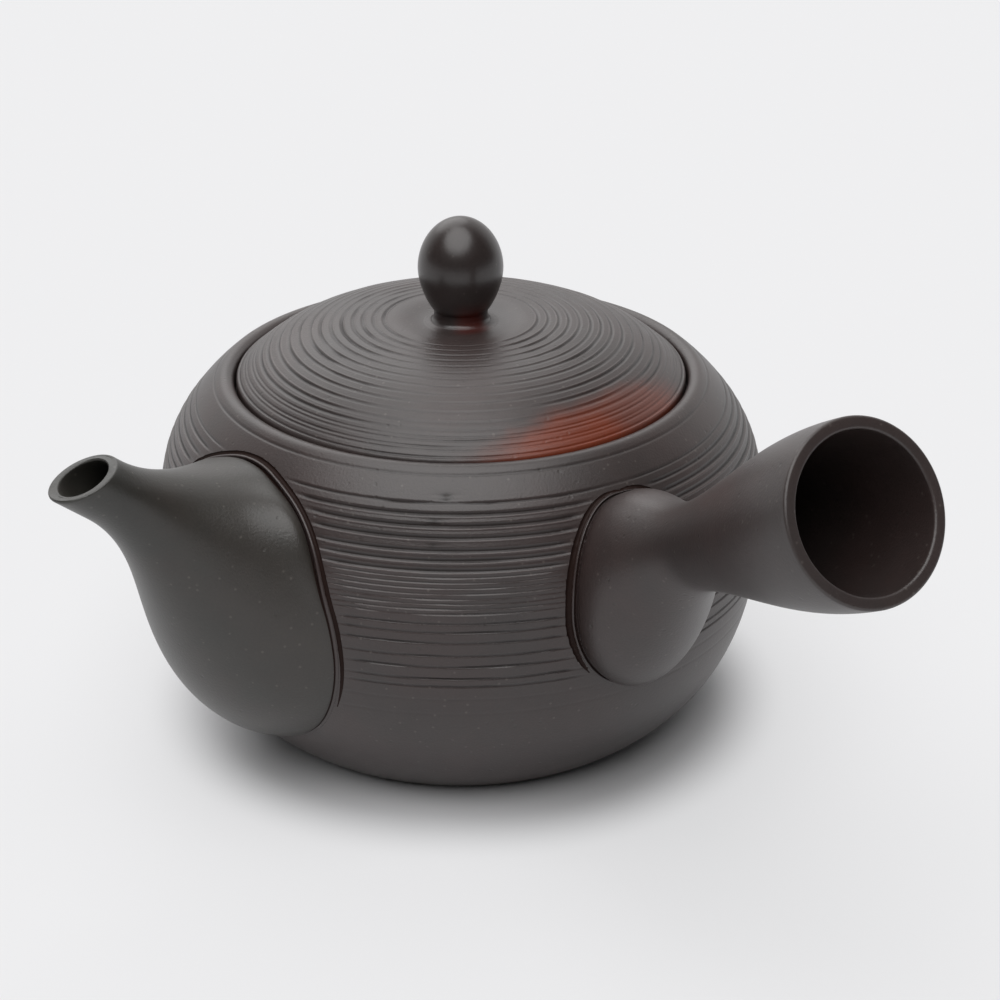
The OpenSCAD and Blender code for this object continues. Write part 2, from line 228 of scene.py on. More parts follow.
def hand_over(piece, node, body, material):
    """Gives a piece its finish and its place on a body, and hides the solid that it stands for."""
    piece.data.materials.clear()
    piece.data.materials.append(material)
    piece.data.shade_smooth()
    piece.data.set_sharp_from_angle(angle=math.radians(SHARP_ANGLE))
    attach(piece, body)
    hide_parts(node)
    piece.data.calc_loop_triangles()
    print(piece.name, "has", len(piece.data.loop_triangles), "triangles")


# %% [markdown]
# ## The pot's curve
# The belly and the shoulder are two superellipses that meet at the widest level.
# A superellipse is an ellipse whose power may differ from 2, which makes it a little squarer.
# The curve could be drawn by hand, but every other piece is set against it, so it is a function.

# %% Curve of the pot
BODY_R = box_mm("pot_body")[1][0]
RIM_Z = box_mm("pot_body")[1][2]
WIDEST_Z = 42.5
SHOULDER_H, SHOULDER_N = 36.9, 2.12
BELLY_H, BELLY_N = 49.9, 2.68
BODY_WALL = 3.2
FLOOR_T = 4.0
LUTE_GAP = 0.05
SLOPE_STEP = 0.05


def superellipse(share, power):
    """Width of a superellipse at a share of its height, as a share of its greatest width."""
    return (1 - share**power) ** (1 / power)


def body_r(z):
    """Outer radius of the pot at a height."""
    z = np.asarray(z, float)
    up = np.clip((z - WIDEST_Z) / SHOULDER_H, 0, 1)
    down = np.clip((WIDEST_Z - z) / BELLY_H, 0, 1)
    return BODY_R * np.where(z > WIDEST_Z, superellipse(up, SHOULDER_N), superellipse(down, BELLY_N))


def body_slope(z):
    """Change of the radius with the height."""
    return (body_r(z + SLOPE_STEP) - body_r(z - SLOPE_STEP)) / (2 * SLOPE_STEP)


def hollow_r(z):
    """Inner radius of the pot at a height."""
    return body_r(z) - BODY_WALL * np.sqrt(1 + body_slope(z) ** 2)


def body_normal(turn, z):
    """Outward direction of the pot's surface."""
    turn = np.radians(turn)
    n = np.stack([np.sin(turn), -np.cos(turn), -body_slope(z)], axis=-1)
    return n / np.linalg.norm(n, axis=-1, keepdims=True)


def on_body(turn, z, lift):
    """Points on the pot's surface, lifted off it."""
    angle = np.radians(turn)
    r = body_r(z)
    place = np.stack([r * np.sin(angle), -r * np.cos(angle), z], axis=-1)
    return place + np.asarray(lift)[..., None] * body_normal(turn, z)


def lifted(points, lift):
    """Points moved off the pot along its outward direction."""
    turn = np.degrees(np.arctan2(points[..., 0], -points[..., 1]))
    return points + np.asarray(lift)[..., None] * body_normal(turn, points[..., 2])


print("base radius, mm:", round(float(body_r(0)), 2), "rim radius, mm:", round(float(body_r(RIM_Z - 1)), 2))

# %% [markdown]
# ## Lines of the spout and the handle
# Both are round forms on slanting axes, and both start on the pot's wall.
# They could be cut to the wall with a boolean, but then no ring of points would follow the joint.
# So the spout's start is found by halving: a point inside the wall moves out, and one outside moves in.
# The handle starts from an oval on the wall, and a smooth curve leads from the oval to the neck.

# %% Curves of the spout
SPOUT_TURN, SPOUT_TILT, SPOUT_Z, SPOUT_LEN = -79.0, 39.6, 1.4, 108.0
SPOUT_ROOT_R, SPOUT_LIP_R = 26.3, 5.5
SPOUT_SWELL_S, SPOUT_NECK_S = 51.5, 103.0
SPOUT_TUCK = 0.03
SPOUT_ROOT_WALL, SPOUT_LIP_WALL = 2.8, 1.5
SPOUT_SHOULDER, SPOUT_SHOULDER_A, SPOUT_SHOULDER_SPAN = 2.0, 27.0, 42.0
SPOUT_MOUTH_TURN, SPOUT_MOUTH_TILT = -86.4, 70.0
HALVINGS = 40


def ease(s, start, end):
    """Smooth step from 1 down to 0."""
    return (1 + np.cos(np.pi * np.clip((s - start) / (end - start), 0, 1))) / 2


def along(turn, tilt):
    """Direction of a slanting axis."""
    t, e = np.radians(turn), np.radians(tilt)
    return np.array([np.sin(t) * np.cos(e), -np.cos(t) * np.cos(e), np.sin(e)])


def around(turn, tilt, a):
    """Directions round a slanting axis."""
    side = np.array([np.cos(np.radians(turn)), np.sin(np.radians(turn)), 0])
    up = np.cross(along(turn, tilt), side)
    a = np.radians(a)[..., None]
    return np.cos(a) * side + np.sin(a) * up


def ring_point(turn, tilt, z, s, r, a):
    """Points of a round form: place on its axis, radius and angle."""
    return np.array([0, 0, z]) + s[..., None] * along(turn, tilt) + r[..., None] * around(turn, tilt, a)


def spout_r(s, a):
    """Radius of the spout, fuller at its two upper sides."""
    lean = np.degrees(np.arcsin(np.sin(np.radians(a))))
    fuller = SPOUT_SHOULDER * ease(np.abs(lean - SPOUT_SHOULDER_A), 0, SPOUT_SHOULDER_SPAN)
    swell = ease(s, SPOUT_SWELL_S, SPOUT_NECK_S)
    tuck = SPOUT_TUCK * np.maximum(SPOUT_SWELL_S - s, 0) ** 2
    return SPOUT_LIP_R + (SPOUT_ROOT_R + fuller - SPOUT_LIP_R) * swell - tuck


def spout_wall(s):
    """Thickness of the spout's wall."""
    return SPOUT_LIP_WALL + (SPOUT_ROOT_WALL - SPOUT_LIP_WALL) * ease(s, SPOUT_SWELL_S, SPOUT_NECK_S)


def spout_point(s, a, walls=0.0, out=0.0):
    """Points of the spout, with the radius grown by walls and by a margin."""
    r = spout_r(s, a) + walls * spout_wall(s) + out
    return ring_point(SPOUT_TURN, SPOUT_TILT, SPOUT_Z, s, r, a)


def spout_start(a, walls=0.0, out=0.0):
    """Places on the axis where the spout's lines reach the pot's wall."""
    low = np.full(np.shape(a), SPOUT_SWELL_S - math.sqrt(SPOUT_ROOT_R / SPOUT_TUCK))
    high = np.full(np.shape(a), SPOUT_NECK_S)
    for _ in range(HALVINGS):
        mid = (low + high) / 2
        p = spout_point(mid, a, walls, out)
        outside = np.hypot(p[..., 0], p[..., 1]) > body_r(np.maximum(p[..., 2], 0)) + LUTE_GAP
        high = np.where(outside, mid, high)
        low = np.where(outside, low, mid)
    return (low + high) / 2


def spout_end(a, r):
    """Places on the axis where lines of a given radius reach the slanting mouth."""
    face = along(SPOUT_MOUTH_TURN, SPOUT_MOUTH_TILT)
    aside = around(SPOUT_TURN, SPOUT_TILT, a) @ face
    return SPOUT_LEN - r * aside / (along(SPOUT_TURN, SPOUT_TILT) @ face)


def spout_edge(a, out, lift=0.0):
    """Points round the spout's root, on the pot's wall, with a margin and a lift."""
    return lifted(spout_point(spout_start(a, 0.0, out), a, 0.0, out), lift)


print("spout's lip, mm:", 2 * SPOUT_LIP_R)

# %% Curves of the handle
HANDLE_TURN, HANDLE_TILT, HANDLE_Z, HANDLE_LEN = 0.0, 29.0, 19.9, 130.7
HANDLE_NECK_R, HANDLE_MOUTH_R = 7.0, 14.45
HANDLE_NECK_S, HANDLE_DOME_S, HANDLE_LIP = 78.0, 88.0, 2.0
HANDLE_WALL = 2.1
ROOT_Z, ROOT_TURN, ROOT_W, ROOT_H = 43.5, 1.5, 12.4, 16.8
ROOT_N_HIGH, ROOT_N_LOW = 2.3, 1.95
DOME_H, NECK_PULL = 9.5, 12.0


def handle_r(s):
    """Radius of the handle's tube."""
    narrow = ease(s, HANDLE_NECK_S, HANDLE_LEN - HANDLE_LIP)
    return HANDLE_MOUTH_R + (HANDLE_NECK_R - HANDLE_MOUTH_R) * narrow


def handle_point(s, a, out=0.0):
    """Points of the handle's tube, round one place on its axis."""
    s = np.full(np.shape(a), s)
    return ring_point(HANDLE_TURN, HANDLE_TILT, HANDLE_Z, s, handle_r(s) + out, a)


def root_point(a, out, lift=0.0):
    """Points of the handle's oval root on the pot's wall."""
    c, s = np.cos(np.radians(a)), np.sin(np.radians(a))
    n = np.where(s > 0, ROOT_N_HIGH, ROOT_N_LOW)
    k = (np.abs(c) ** n + np.abs(s) ** n) ** (-1 / n)
    turn = ROOT_TURN + np.degrees((ROOT_W + out) * k * c / BODY_R)
    return on_body(turn, ROOT_Z + (ROOT_H + out) * k * s, LUTE_GAP + lift)


def dome_point(t, a, out):
    """Points of the handle's dome, between its root and its neck."""
    p0, p1 = root_point(a, out), root_point(a, out, DOME_H)
    p3 = handle_point(HANDLE_DOME_S, a, out)
    back = handle_point(HANDLE_DOME_S - SLOPE_STEP, a, out) - p3
    p2 = p3 + NECK_PULL * back / np.linalg.norm(back, axis=-1, keepdims=True)
    return (1 - t) ** 3 * p0 + 3 * t * (1 - t) ** 2 * p1 + 3 * t**2 * (1 - t) * p2 + t**3 * p3


print("handle's mouth, mm:", 2 * HANDLE_MOUTH_R)

# %% [markdown]
# ## The fired clay
# The clay is a dark iron-bearing stoneware, fired with little air, so it came out grey-brown.
# A photo of clay could be wrapped round the pot, but it would stretch, and it would hold its own light.
# Three drawn layers look fired and not painted: slow clouds of warmer and greener grey,
# a fine grain with a few pale specks, and small pits where grit has burnt out, which are also painted darker
# as shade in them.
# All the pieces share them, so they are one node group.

# %% Shared group of the fired clay
WARM = (1.06, 0.99, 0.96, 1)
GREEN = (0.95, 1.0, 0.98, 1)
SPECK = (0.3, 0.27, 0.24, 1)
PIT = (0.03, 0.025, 0.022, 1)
CLOUD_SCALE, CLOUD_EDGE = 55, (0.35, 0.65)
PATCH_SCALE, PATCH_SHADE = 210, (0.95, 1.05)
GRAIN_SCALE, GRAIN_SHADE = 2400, (0.94, 1.06)
GRAIN_EDGE = (0.3, 0.7)
SPECK_SCALE, SPECK_EDGE, SPECK_PICK = 900, (0.14, 0.3), (0.88, 0.92)
PIT_SCALE, PIT_EDGE, PIT_PICK, PIT_COVER = 620, (0.1, 0.28), (0.86, 0.9), 0.5


def dots(tree, place, scale, channel, edge, pick):
    """Round dots in a few cells of an uneven grid, 1 in their middles."""
    cells = put(tree, "ShaderNodeTexVoronoi", {"Vector": place, "Scale": scale}).outputs
    chance = put(tree, "ShaderNodeSeparateColor", {0: cells["Color"]}).outputs[channel]
    middle = smooth(tree, cells["Distance"], *edge, 1.0, 0.0)
    return calc(tree, "MULTIPLY", middle, smooth(tree, chance, *pick))


def clay_group():
    """Shader group: the clay's colour and the height of its grain."""
    tree, source, sink = new_tree(
        "fired clay",
        "ShaderNodeTree",
        {"Tone": "Color", "Mottle": "Float", "Specks": "Float"},
        {"Color": "Color", "Height": "Float"},
    )
    place = put(tree, "ShaderNodeTexCoord").outputs["Object"]
    cloud = smooth(tree, noise(tree, place, CLOUD_SCALE, 4), *CLOUD_EDGE)
    clouded = paint(tree, 1.0, source["Tone"], paint(tree, cloud, WARM, GREEN), "MULTIPLY")
    tone = paint(tree, source["Mottle"], source["Tone"], clouded)
    patch = smooth(tree, noise(tree, place, PATCH_SCALE, 4), *GRAIN_EDGE, *PATCH_SHADE)
    grain = noise(tree, place, GRAIN_SCALE, 3)
    shade = calc(tree, "MULTIPLY", patch, smooth(tree, grain, *GRAIN_EDGE, *GRAIN_SHADE))
    grey = put(tree, "ShaderNodeCombineColor", {0: shade, 1: shade, 2: shade}).outputs[0]
    tone = paint(tree, 1.0, tone, grey, "MULTIPLY")
    speck = dots(tree, place, SPECK_SCALE, 0, SPECK_EDGE, SPECK_PICK)
    tone = paint(tree, calc(tree, "MULTIPLY", speck, source["Specks"]), tone, SPECK)
    # Painted shade: the pits are darkened in colour as well as pressed in by the bump.
    pit = dots(tree, place, PIT_SCALE, 1, PIT_EDGE, PIT_PICK)
    tone = paint(tree, calc(tree, "MULTIPLY", pit, PIT_COVER), tone, PIT)
    tree.links.new(tone, sink.inputs["Color"])
    tree.links.new(calc(tree, "SUBTRACT", grain, pit), sink.inputs["Height"])
    return tree


FIRED_CLAY = clay_group()
print("nodes in the clay:", len(FIRED_CLAY.nodes))

# %% A finish of clay
CLAY_ROUGH, CLAY_SPECKS, CLAY_BUMP = 0.39, 0.12, 0.2
CLAY_IOR = 1.6
SHEEN, DULL_SHEEN = 0.5, 0.05
GRAIN_MM = 0.2


def clay_material(name, tone, layers, rough=CLAY_ROUGH, specks=CLAY_SPECKS, bump=CLAY_BUMP):
    """A finish: the shared clay, layers of colour over it, and a mask where it doesn't shine."""
    material = bpy.data.materials.new(name)
    material.use_nodes = True
    tree = material.node_tree
    surface = tree.nodes["Principled BSDF"]
    inputs = {"Tone": tone, "Mottle": 1.0, "Specks": specks}
    clay = put(tree, "ShaderNodeGroup", inputs, node_tree=FIRED_CLAY).outputs
    color, dull = layers(tree, clay["Color"])
    tree.links.new(color, surface.inputs["Base Color"])
    if dull:
        sheen = smooth(tree, dull, 0.0, 1.0, SHEEN, DULL_SHEEN)
        tree.links.new(sheen, surface.inputs["Specular IOR Level"])
    surface.inputs["Roughness"].default_value = rough
    surface.inputs["IOR"].default_value = CLAY_IOR
    grain = {"Height": clay["Height"], "Strength": bump, "Distance": GRAIN_MM * MM}
    tree.links.new(put(tree, "ShaderNodeBump", grain).outputs[0], surface.inputs["Normal"])
    return material


# %% [markdown]
# ## Comb lines and seams in the finish
# A comb leaves burrs, and they are painted paler: partly rubbed pale, partly a painted highlight where their
# lips face the light.
# The bottoms of its lines are painted darker, which is painted shade in the grooves.
# Slip in the seams is finer than the clay and fires darker and redder; the same dark colour also paints shade
# into the seam grooves and the crease round the spout.
# A mask could be painted by hand, but the geometry knows where it was pressed or cut.
# So the pieces keep two values on their surface, named comb and seam, and a shared group reads those.

# %% Layer of the comb lines and seams
CLAY = (0.036, 0.0255, 0.0245, 1)
SPOUT_CLAY = (0.032, 0.029, 0.0255, 1)
# SLIP_AND_SEAM_SHADE is the slip's own dark red colour and also painted shade in the seam grooves;
# GROOVE_PAINTED_SHADE is painted shade in the groove bottoms; BURR_RUB_AND_HIGHLIGHT lightens the burrs,
# partly as rubbing and partly as a painted highlight.
SLIP_AND_SEAM_SHADE = (0.020, 0.011, 0.009, 1)
GROOVE_PAINTED_SHADE = (0.32, 0.29, 0.28, 1)
BURR_RUB_AND_HIGHLIGHT = (1.5, 1.5, 1.5, 1)
BURR_HEIGHT, BURR_COVER = -0.3, 0.7
GROOVE_DEPTH, GROOVE_COVER = (0.05, 0.7), 0.8
DULL_DEPTH, DULL_COVER = (0.3, 1.0), 0.55
SEAM_COVER = 0.92


def attribute(tree, name):
    """A value that the geometry keeps on its surface."""
    return put(tree, "ShaderNodeAttribute", attribute_name=name).outputs["Fac"]


def comb_group():
    """Shader group: burrs painted paler (rubbing and painted highlight), painted shade in the bottoms of the
    comb lines, and the dark slip colour in the seams, which also paints their shade.
    """
    tree, source, sink = new_tree(
        "comb and seams",
        "ShaderNodeTree",
        {"Color": "Color", "Comb": "Float", "Seam": "Float"},
        {"Color": "Color"},
    )
    color, depth = source["Color"], source["Comb"]
    # Painted shade in the groove bottoms, and a paler colour on the burrs that is partly rubbing and partly
    # painted highlight.
    shaded = paint(tree, 1.0, color, GROOVE_PAINTED_SHADE, "MULTIPLY")
    rubbed_and_lit = paint(tree, 1.0, color, BURR_RUB_AND_HIGHLIGHT, "MULTIPLY")
    color = paint(tree, smooth(tree, depth, BURR_HEIGHT, 0.0, BURR_COVER, 0.0), color, rubbed_and_lit)
    color = paint(tree, smooth(tree, depth, *GROOVE_DEPTH, 0.0, GROOVE_COVER), color, shaded)
    color = paint(tree, calc(tree, "MULTIPLY", source["Seam"], SEAM_COVER), color, SLIP_AND_SEAM_SHADE)
    tree.links.new(color, sink.inputs["Color"])
    return tree


COMB_AND_SEAMS = comb_group()


def combed(tree, color):
    """The clay with its comb lines and seams, and a mask of where they don't shine."""
    depth, seam = attribute(tree, "comb"), attribute(tree, "seam")
    inputs = {"Color": color, "Comb": depth, "Seam": seam}
    color = put(tree, "ShaderNodeGroup", inputs, node_tree=COMB_AND_SEAMS).outputs["Color"]
    return color, calc(tree, "MAXIMUM", seam, smooth(tree, depth, *DULL_DEPTH, 0.0, DULL_COVER))


body_clay = clay_material("body_clay", CLAY, combed)
spout_clay = clay_material("spout_clay", SPOUT_CLAY, combed)
print("combed finishes:", body_clay.name, spout_clay.name)

# %% [markdown]
# ## The flame mark
# Where air reached the clay in the kiln, iron turned red: a wide lick on the lid's edge above the handle,
# and a small flush low on the knob and round its foot.
# Both are laid out by the radius and the turn about the pot's axis, as the lid itself is turned.
# It could be painted on by hand, but a formula is easier to move and to mend.
# Noise makes the edge of the mark ragged and its red uneven, as the fire did.

# %% Layers of the flame
LID_CLAY = (0.037, 0.0265, 0.0255, 1)
# KNOB_SHADED_CLAY is the lid's clay made darker so that the knob's shaded lower side comes out dark: painted
# shade spread over the whole knob.
KNOB_SHADED_CLAY = (0.026, 0.018, 0.017, 1)
KNOB_ROUGH, KNOB_SPECKS, KNOB_BUMP = 0.3, 0.08, 0.08
FLAME = (0.16, 0.024, 0.004, 1)
FLAME_LEFT, FLAME_RIGHT = (-36, -16), (24, 48)
FLAME_TAIL, FLAME_TAIL_R, FLAME_R = (-30, 2), 40.5, 34.6
FLAME_END, FLAME_END_RISE = (10, 45), 2.5
FLAME_SOFT, FLAME_RAGGED, FLAME_SCALE = 2.4, 4.0, 160
LICK_SCALE, LICK_EDGE, LICK_LEAST = 70, (0.3, 0.55), 0.6
FLAME_COVER = 0.95
FLUSH = (0.080, 0.006, 0.002, 1)
FLUSH_TURN, FLUSH_FULL, FLUSH_GONE = -8, 16, 46
FLUSH_LOW_Z, FLUSH_HIGH_Z = 77.5, 83
FLUSH_R, FLUSH_GONE_R, FLUSH_COVER = 5.2, 8.0, 0.7


def flush_group():
    """Shader group: a dark red flush low on the knob and round its foot, on the side of the handle."""
    sockets = {"Color": "Color", "Cover": "Float"}
    tree, source, sink = new_tree("flush", "ShaderNodeTree", sockets, {"Color": "Color"})
    radius, turn, height = around_axis(tree, put(tree, "ShaderNodeTexCoord").outputs["Object"])
    away = calc(tree, "ABSOLUTE", calc(tree, "SUBTRACT", turn, math.radians(FLUSH_TURN)))
    wide = smooth(tree, away, math.radians(FLUSH_FULL), math.radians(FLUSH_GONE), 1.0, 0.0)
    low = smooth(tree, height, FLUSH_LOW_Z * MM, FLUSH_HIGH_Z * MM, 1.0, 0.0)
    near = smooth(tree, radius, FLUSH_R * MM, FLUSH_GONE_R * MM, source["Cover"], 0.0)
    color = paint(tree, product(tree, wide, low, near), source["Color"], FLUSH)
    tree.links.new(color, sink.inputs["Color"])
    return tree


KNOB_FLUSH = flush_group()


def flushed(tree, color):
    """The clay with the flush over it, and no mask, because it shines all over."""
    inputs = {"Color": color, "Cover": FLUSH_COVER}
    return put(tree, "ShaderNodeGroup", inputs, node_tree=KNOB_FLUSH).outputs["Color"], None


def flamed(tree, color):
    """The comb lines, and over them the red lick on the lid's edge above the handle."""
    color, dull = combed(tree, color)
    place = put(tree, "ShaderNodeTexCoord").outputs["Object"]
    radius, turn, _ = around_axis(tree, place)
    left = smooth(tree, turn, *np.radians(FLAME_LEFT))
    right = smooth(tree, turn, *np.radians(FLAME_RIGHT), 1.0, 0.0)
    tail = smooth(tree, turn, *np.radians(FLAME_TAIL), FLAME_TAIL_R * MM, FLAME_R * MM)
    edge = calc(tree, "ADD", tail, smooth(tree, turn, *np.radians(FLAME_END), 0.0, FLAME_END_RISE * MM))
    wander = calc(tree, "SUBTRACT", noise(tree, place, FLAME_SCALE, 3), 0.5)
    ragged = calc(tree, "ADD", radius, calc(tree, "MULTIPLY", wander, FLAME_RAGGED * MM))
    reach = smooth(tree, calc(tree, "SUBTRACT", ragged, edge), -FLAME_SOFT * MM, FLAME_SOFT * MM)
    lick = smooth(tree, noise(tree, place, LICK_SCALE, 4), *LICK_EDGE, LICK_LEAST, 1.0)
    color = paint(tree, product(tree, left, right, reach, lick, FLAME_COVER), color, FLAME)
    return flushed(tree, color)[0], dull


lid_clay = clay_material("lid_clay", LID_CLAY, flamed)
knob_clay = clay_material("knob_clay", KNOB_SHADED_CLAY, flushed, KNOB_ROUGH, KNOB_SPECKS, KNOB_BUMP)
print("flamed finishes:", lid_clay.name, knob_clay.name)

# %% [markdown]
# ## One tooth of the comb
# The comb is a strip of wood with teeth, held against the turning clay.
# Each tooth presses a shallow round furrow and pushes up a low burr below it.
# Lines could be bumps in the finish alone, but then the outline and the light on them would stay smooth.
# So a tooth is a geometry group that says how deep it presses at a place, a little uneven by hand.

# %% Group of one tooth
FURROW_POWER, FURROW_LEAN = 1.4, 0.64
SWAY_SCALE, HAND_SCALE, HAND_EDGE = 30, 110, (0.3, 0.7)


def tooth_group():
    """Geometry group: how deep one tooth of the comb presses at a place."""
    tree, source, sink = new_tree(
        "comb tooth",
        "GeometryNodeTree",
        {"Place": "Float", "Position": "Vector", "Line": "Float", "Width": "Float", "Depth": "Float",
         "Uneven": "Float", "Burr": "Float", "Seed": "Float"},
        {"Push": "Float"},
    )
    apart = put(tree, "ShaderNodeCombineXYZ", {2: source["Seed"]}).outputs[0]
    seat = put(tree, "ShaderNodeVectorMath", {0: source["Position"], 1: apart}).outputs[0]
    sway = calc(tree, "SUBTRACT", noise(tree, seat, SWAY_SCALE, 1), 0.5)
    drift = product(tree, sway, source["Uneven"], source["Width"])
    off = calc(tree, "SUBTRACT", calc(tree, "SUBTRACT", source["Place"], source["Line"]), drift)
    above = calc(tree, "DIVIDE", off, calc(tree, "MULTIPLY", source["Width"], FURROW_LEAN))
    foot = calc(tree, "MULTIPLY", source["Width"], 1 - FURROW_LEAN)
    below = calc(tree, "DIVIDE", calc(tree, "MULTIPLY", off, -1.0), foot)
    share = calc(tree, "MINIMUM", calc(tree, "MAXIMUM", above, below), 1.0)
    furrow = calc(tree, "SUBTRACT", 1.0, calc(tree, "POWER", share, FURROW_POWER))
    rise = calc(tree, "SUBTRACT", below, 1.0)
    hump = product(tree, rise, 4.0, calc(tree, "SUBTRACT", 1.0, rise))
    burr = calc(tree, "MULTIPLY", calc(tree, "MAXIMUM", hump, 0.0), source["Burr"])
    hand = smooth(tree, noise(tree, seat, HAND_SCALE, 3), *HAND_EDGE, -1.0, 1.0)
    even = calc(tree, "ADD", 1.0, calc(tree, "MULTIPLY", source["Uneven"], hand))
    press = calc(tree, "MULTIPLY", source["Depth"], calc(tree, "MAXIMUM", even, 0.0))
    push = calc(tree, "MULTIPLY", calc(tree, "SUBTRACT", furrow, burr), press)
    tree.links.new(push, sink.inputs["Push"])
    return tree


COMB_TOOTH = tooth_group()
print("nodes in a tooth:", len(COMB_TOOTH.nodes))

# %% [markdown]
# ## Thrown on the wheel
# Turning a profile is what a wheel does, so the pot, the lid and the knob share one kind of geometry tree.
# A Screw modifier could turn it too, but a tree can go on and press the comb into the turned clay.
# The profile comes in as a line of points, and the tree lays a grid over it and bends the grid round.
# The comb's lines fade where slip was wiped over them, where hands wore them, and in a few scuffs.

# %% Turn a profile
MERGE_MM = 0.02


def keep(tree, geometry, name, value):
    """Geometry that keeps a value on its points."""
    inputs = {"Geometry": geometry, "Name": name, "Value": value}
    return put(tree, "GeometryNodeStoreNamedAttribute", inputs, data_type="FLOAT", domain="POINT").outputs[0]


def recall(tree, name):
    """A value that the points keep."""
    return put(tree, "GeometryNodeInputNamedAttribute", {"Name": name}, data_type="FLOAT").outputs[0]


def of_row(tree, source, row, value, kind):
    """A value of the profile's point at a row."""
    inputs = {"Geometry": source["Geometry"], "Value": value, "Index": row}
    return put(tree, "GeometryNodeSampleIndex", inputs, data_type=kind).outputs["Value"]


def turned(tree, source):
    """A grid with a row for each point of the profile, bent round the axis and closed."""
    rows = put(tree, "GeometryNodeAttributeDomainSize", {0: source["Geometry"]}).outputs["Point Count"]
    columns = calc(tree, "ADD", source["Turns"], 1.0)
    grid = put(tree, "GeometryNodeMeshGrid", {"Vertices X": columns, "Vertices Y": rows}).outputs["Mesh"]
    index = put(tree, "GeometryNodeInputIndex").outputs[0]
    row = calc(tree, "MODULO", index, rows)
    column = calc(tree, "FLOOR", calc(tree, "DIVIDE", index, rows))
    angle = calc(tree, "MULTIPLY", calc(tree, "DIVIDE", column, source["Turns"]), 2 * math.pi)
    outline = put(tree, "GeometryNodeInputPosition").outputs[0]
    point = of_row(tree, source, row, outline, "FLOAT_VECTOR")
    on_line = put(tree, "ShaderNodeSeparateXYZ", {0: point}).outputs
    x = calc(tree, "MULTIPLY", on_line[0], calc(tree, "SINE", angle))
    y = product(tree, on_line[0], calc(tree, "COSINE", angle), -1.0)
    place = put(tree, "ShaderNodeCombineXYZ", {0: x, 1: y, 2: on_line[2]}).outputs[0]
    bent = put(tree, "GeometryNodeSetPosition", {"Geometry": grid, "Position": place}).outputs[0]
    marked = keep(tree, bent, "combed", of_row(tree, source, row, recall(tree, "combed"), "FLOAT"))
    inputs = {"Geometry": marked, "Distance": MERGE_MM * MM}
    return put(tree, "GeometryNodeMergeByDistance", inputs).outputs[0]


def profile_piece(name, rows):
    """A profile as a line of points, with a mark where the comb touches it."""
    rows = np.array(rows)
    points = np.stack([rows[:, 0], 0 * rows[:, 0], rows[:, 1]], axis=1)
    edges = [(i, i + 1) for i in range(len(rows) - 1)]
    piece = new_piece(name, points, [], edges)
    mark = piece.data.attributes.new("combed", "FLOAT", "POINT")
    mark.data.foreach_set("value", rows[:, 2].astype(np.float32))
    return piece


# %% Press the comb and wear its lines
COMB_FULL_MM = 0.25
SEED_STEP = 0.53
WIPED_FROM_MM, WIPED_TO_MM, RAGGED_MM, RAGGED_SCALE = 0.4, 2.4, 2.0, 450
SCUFF_MM, SCUFF_EDGE, GRIT_SCALE = 0.5, (0.7, 1.3), 900


def pressed(tree, position, across, lines):
    """How deep the teeth of a comb press together, where the profile is marked for them."""
    total = None
    for number, (line, width, depth, wander, burr) in enumerate(lines):
        values = {"Place": across, "Position": position, "Line": line * MM, "Width": width * MM,
                  "Depth": depth * MM, "Uneven": wander, "Burr": burr, "Seed": SEED_STEP * number}
        push = put(tree, "GeometryNodeGroup", values, node_tree=COMB_TOOTH).outputs["Push"]
        total = push if total is None else calc(tree, "ADD", total, push)
    return calc(tree, "MULTIPLY", total, recall(tree, "combed"))


def wiped(tree, push, position, seams):
    """Lines that fade raggedly beside a seam."""
    paths = put(tree, "GeometryNodeObjectInfo", {"Object": seams}).outputs["Geometry"]
    near = put(tree, "GeometryNodeProximity", {0: paths}, target_element="EDGES").outputs["Distance"]
    wander = calc(tree, "SUBTRACT", noise(tree, position, RAGGED_SCALE, 2), 0.5)
    away = calc(tree, "ADD", near, calc(tree, "MULTIPLY", wander, RAGGED_MM * MM))
    return calc(tree, "MULTIPLY", push, smooth(tree, away, WIPED_FROM_MM * MM, WIPED_TO_MM * MM))


def worn(tree, push, radius, turn, middle, near, far, least, fresh_r):
    """Lines that are worn on one side, out to a radius past which they are fresh."""
    aside = calc(tree, "ABSOLUTE", calc(tree, "SUBTRACT", turn, math.radians(middle)))
    left = smooth(tree, aside, math.radians(near), math.radians(far), least, 1.0)
    fresh = smooth(tree, radius, (fresh_r - 1) * MM, fresh_r * MM)
    return calc(tree, "MULTIPLY", push, calc(tree, "MAXIMUM", left, fresh))


def scuffed(tree, push, position, spot, size):
    """Lines with a rough scuff in place of them at a spot."""
    ends = {0: position, 1: Vector(spot) * MM}
    away = put(tree, "ShaderNodeVectorMath", ends, operation="DISTANCE").outputs["Value"]
    grit = noise(tree, position, GRIT_SCALE, 3)
    reach = calc(tree, "ADD", away, calc(tree, "MULTIPLY", grit, size * MM))
    gone = smooth(tree, reach, *(edge * size * MM for edge in SCUFF_EDGE), 1.0, 0.0)
    left = calc(tree, "MULTIPLY", push, calc(tree, "SUBTRACT", 1.0, gone))
    return calc(tree, "ADD", left, product(tree, grit, SCUFF_MM * MM, gone))


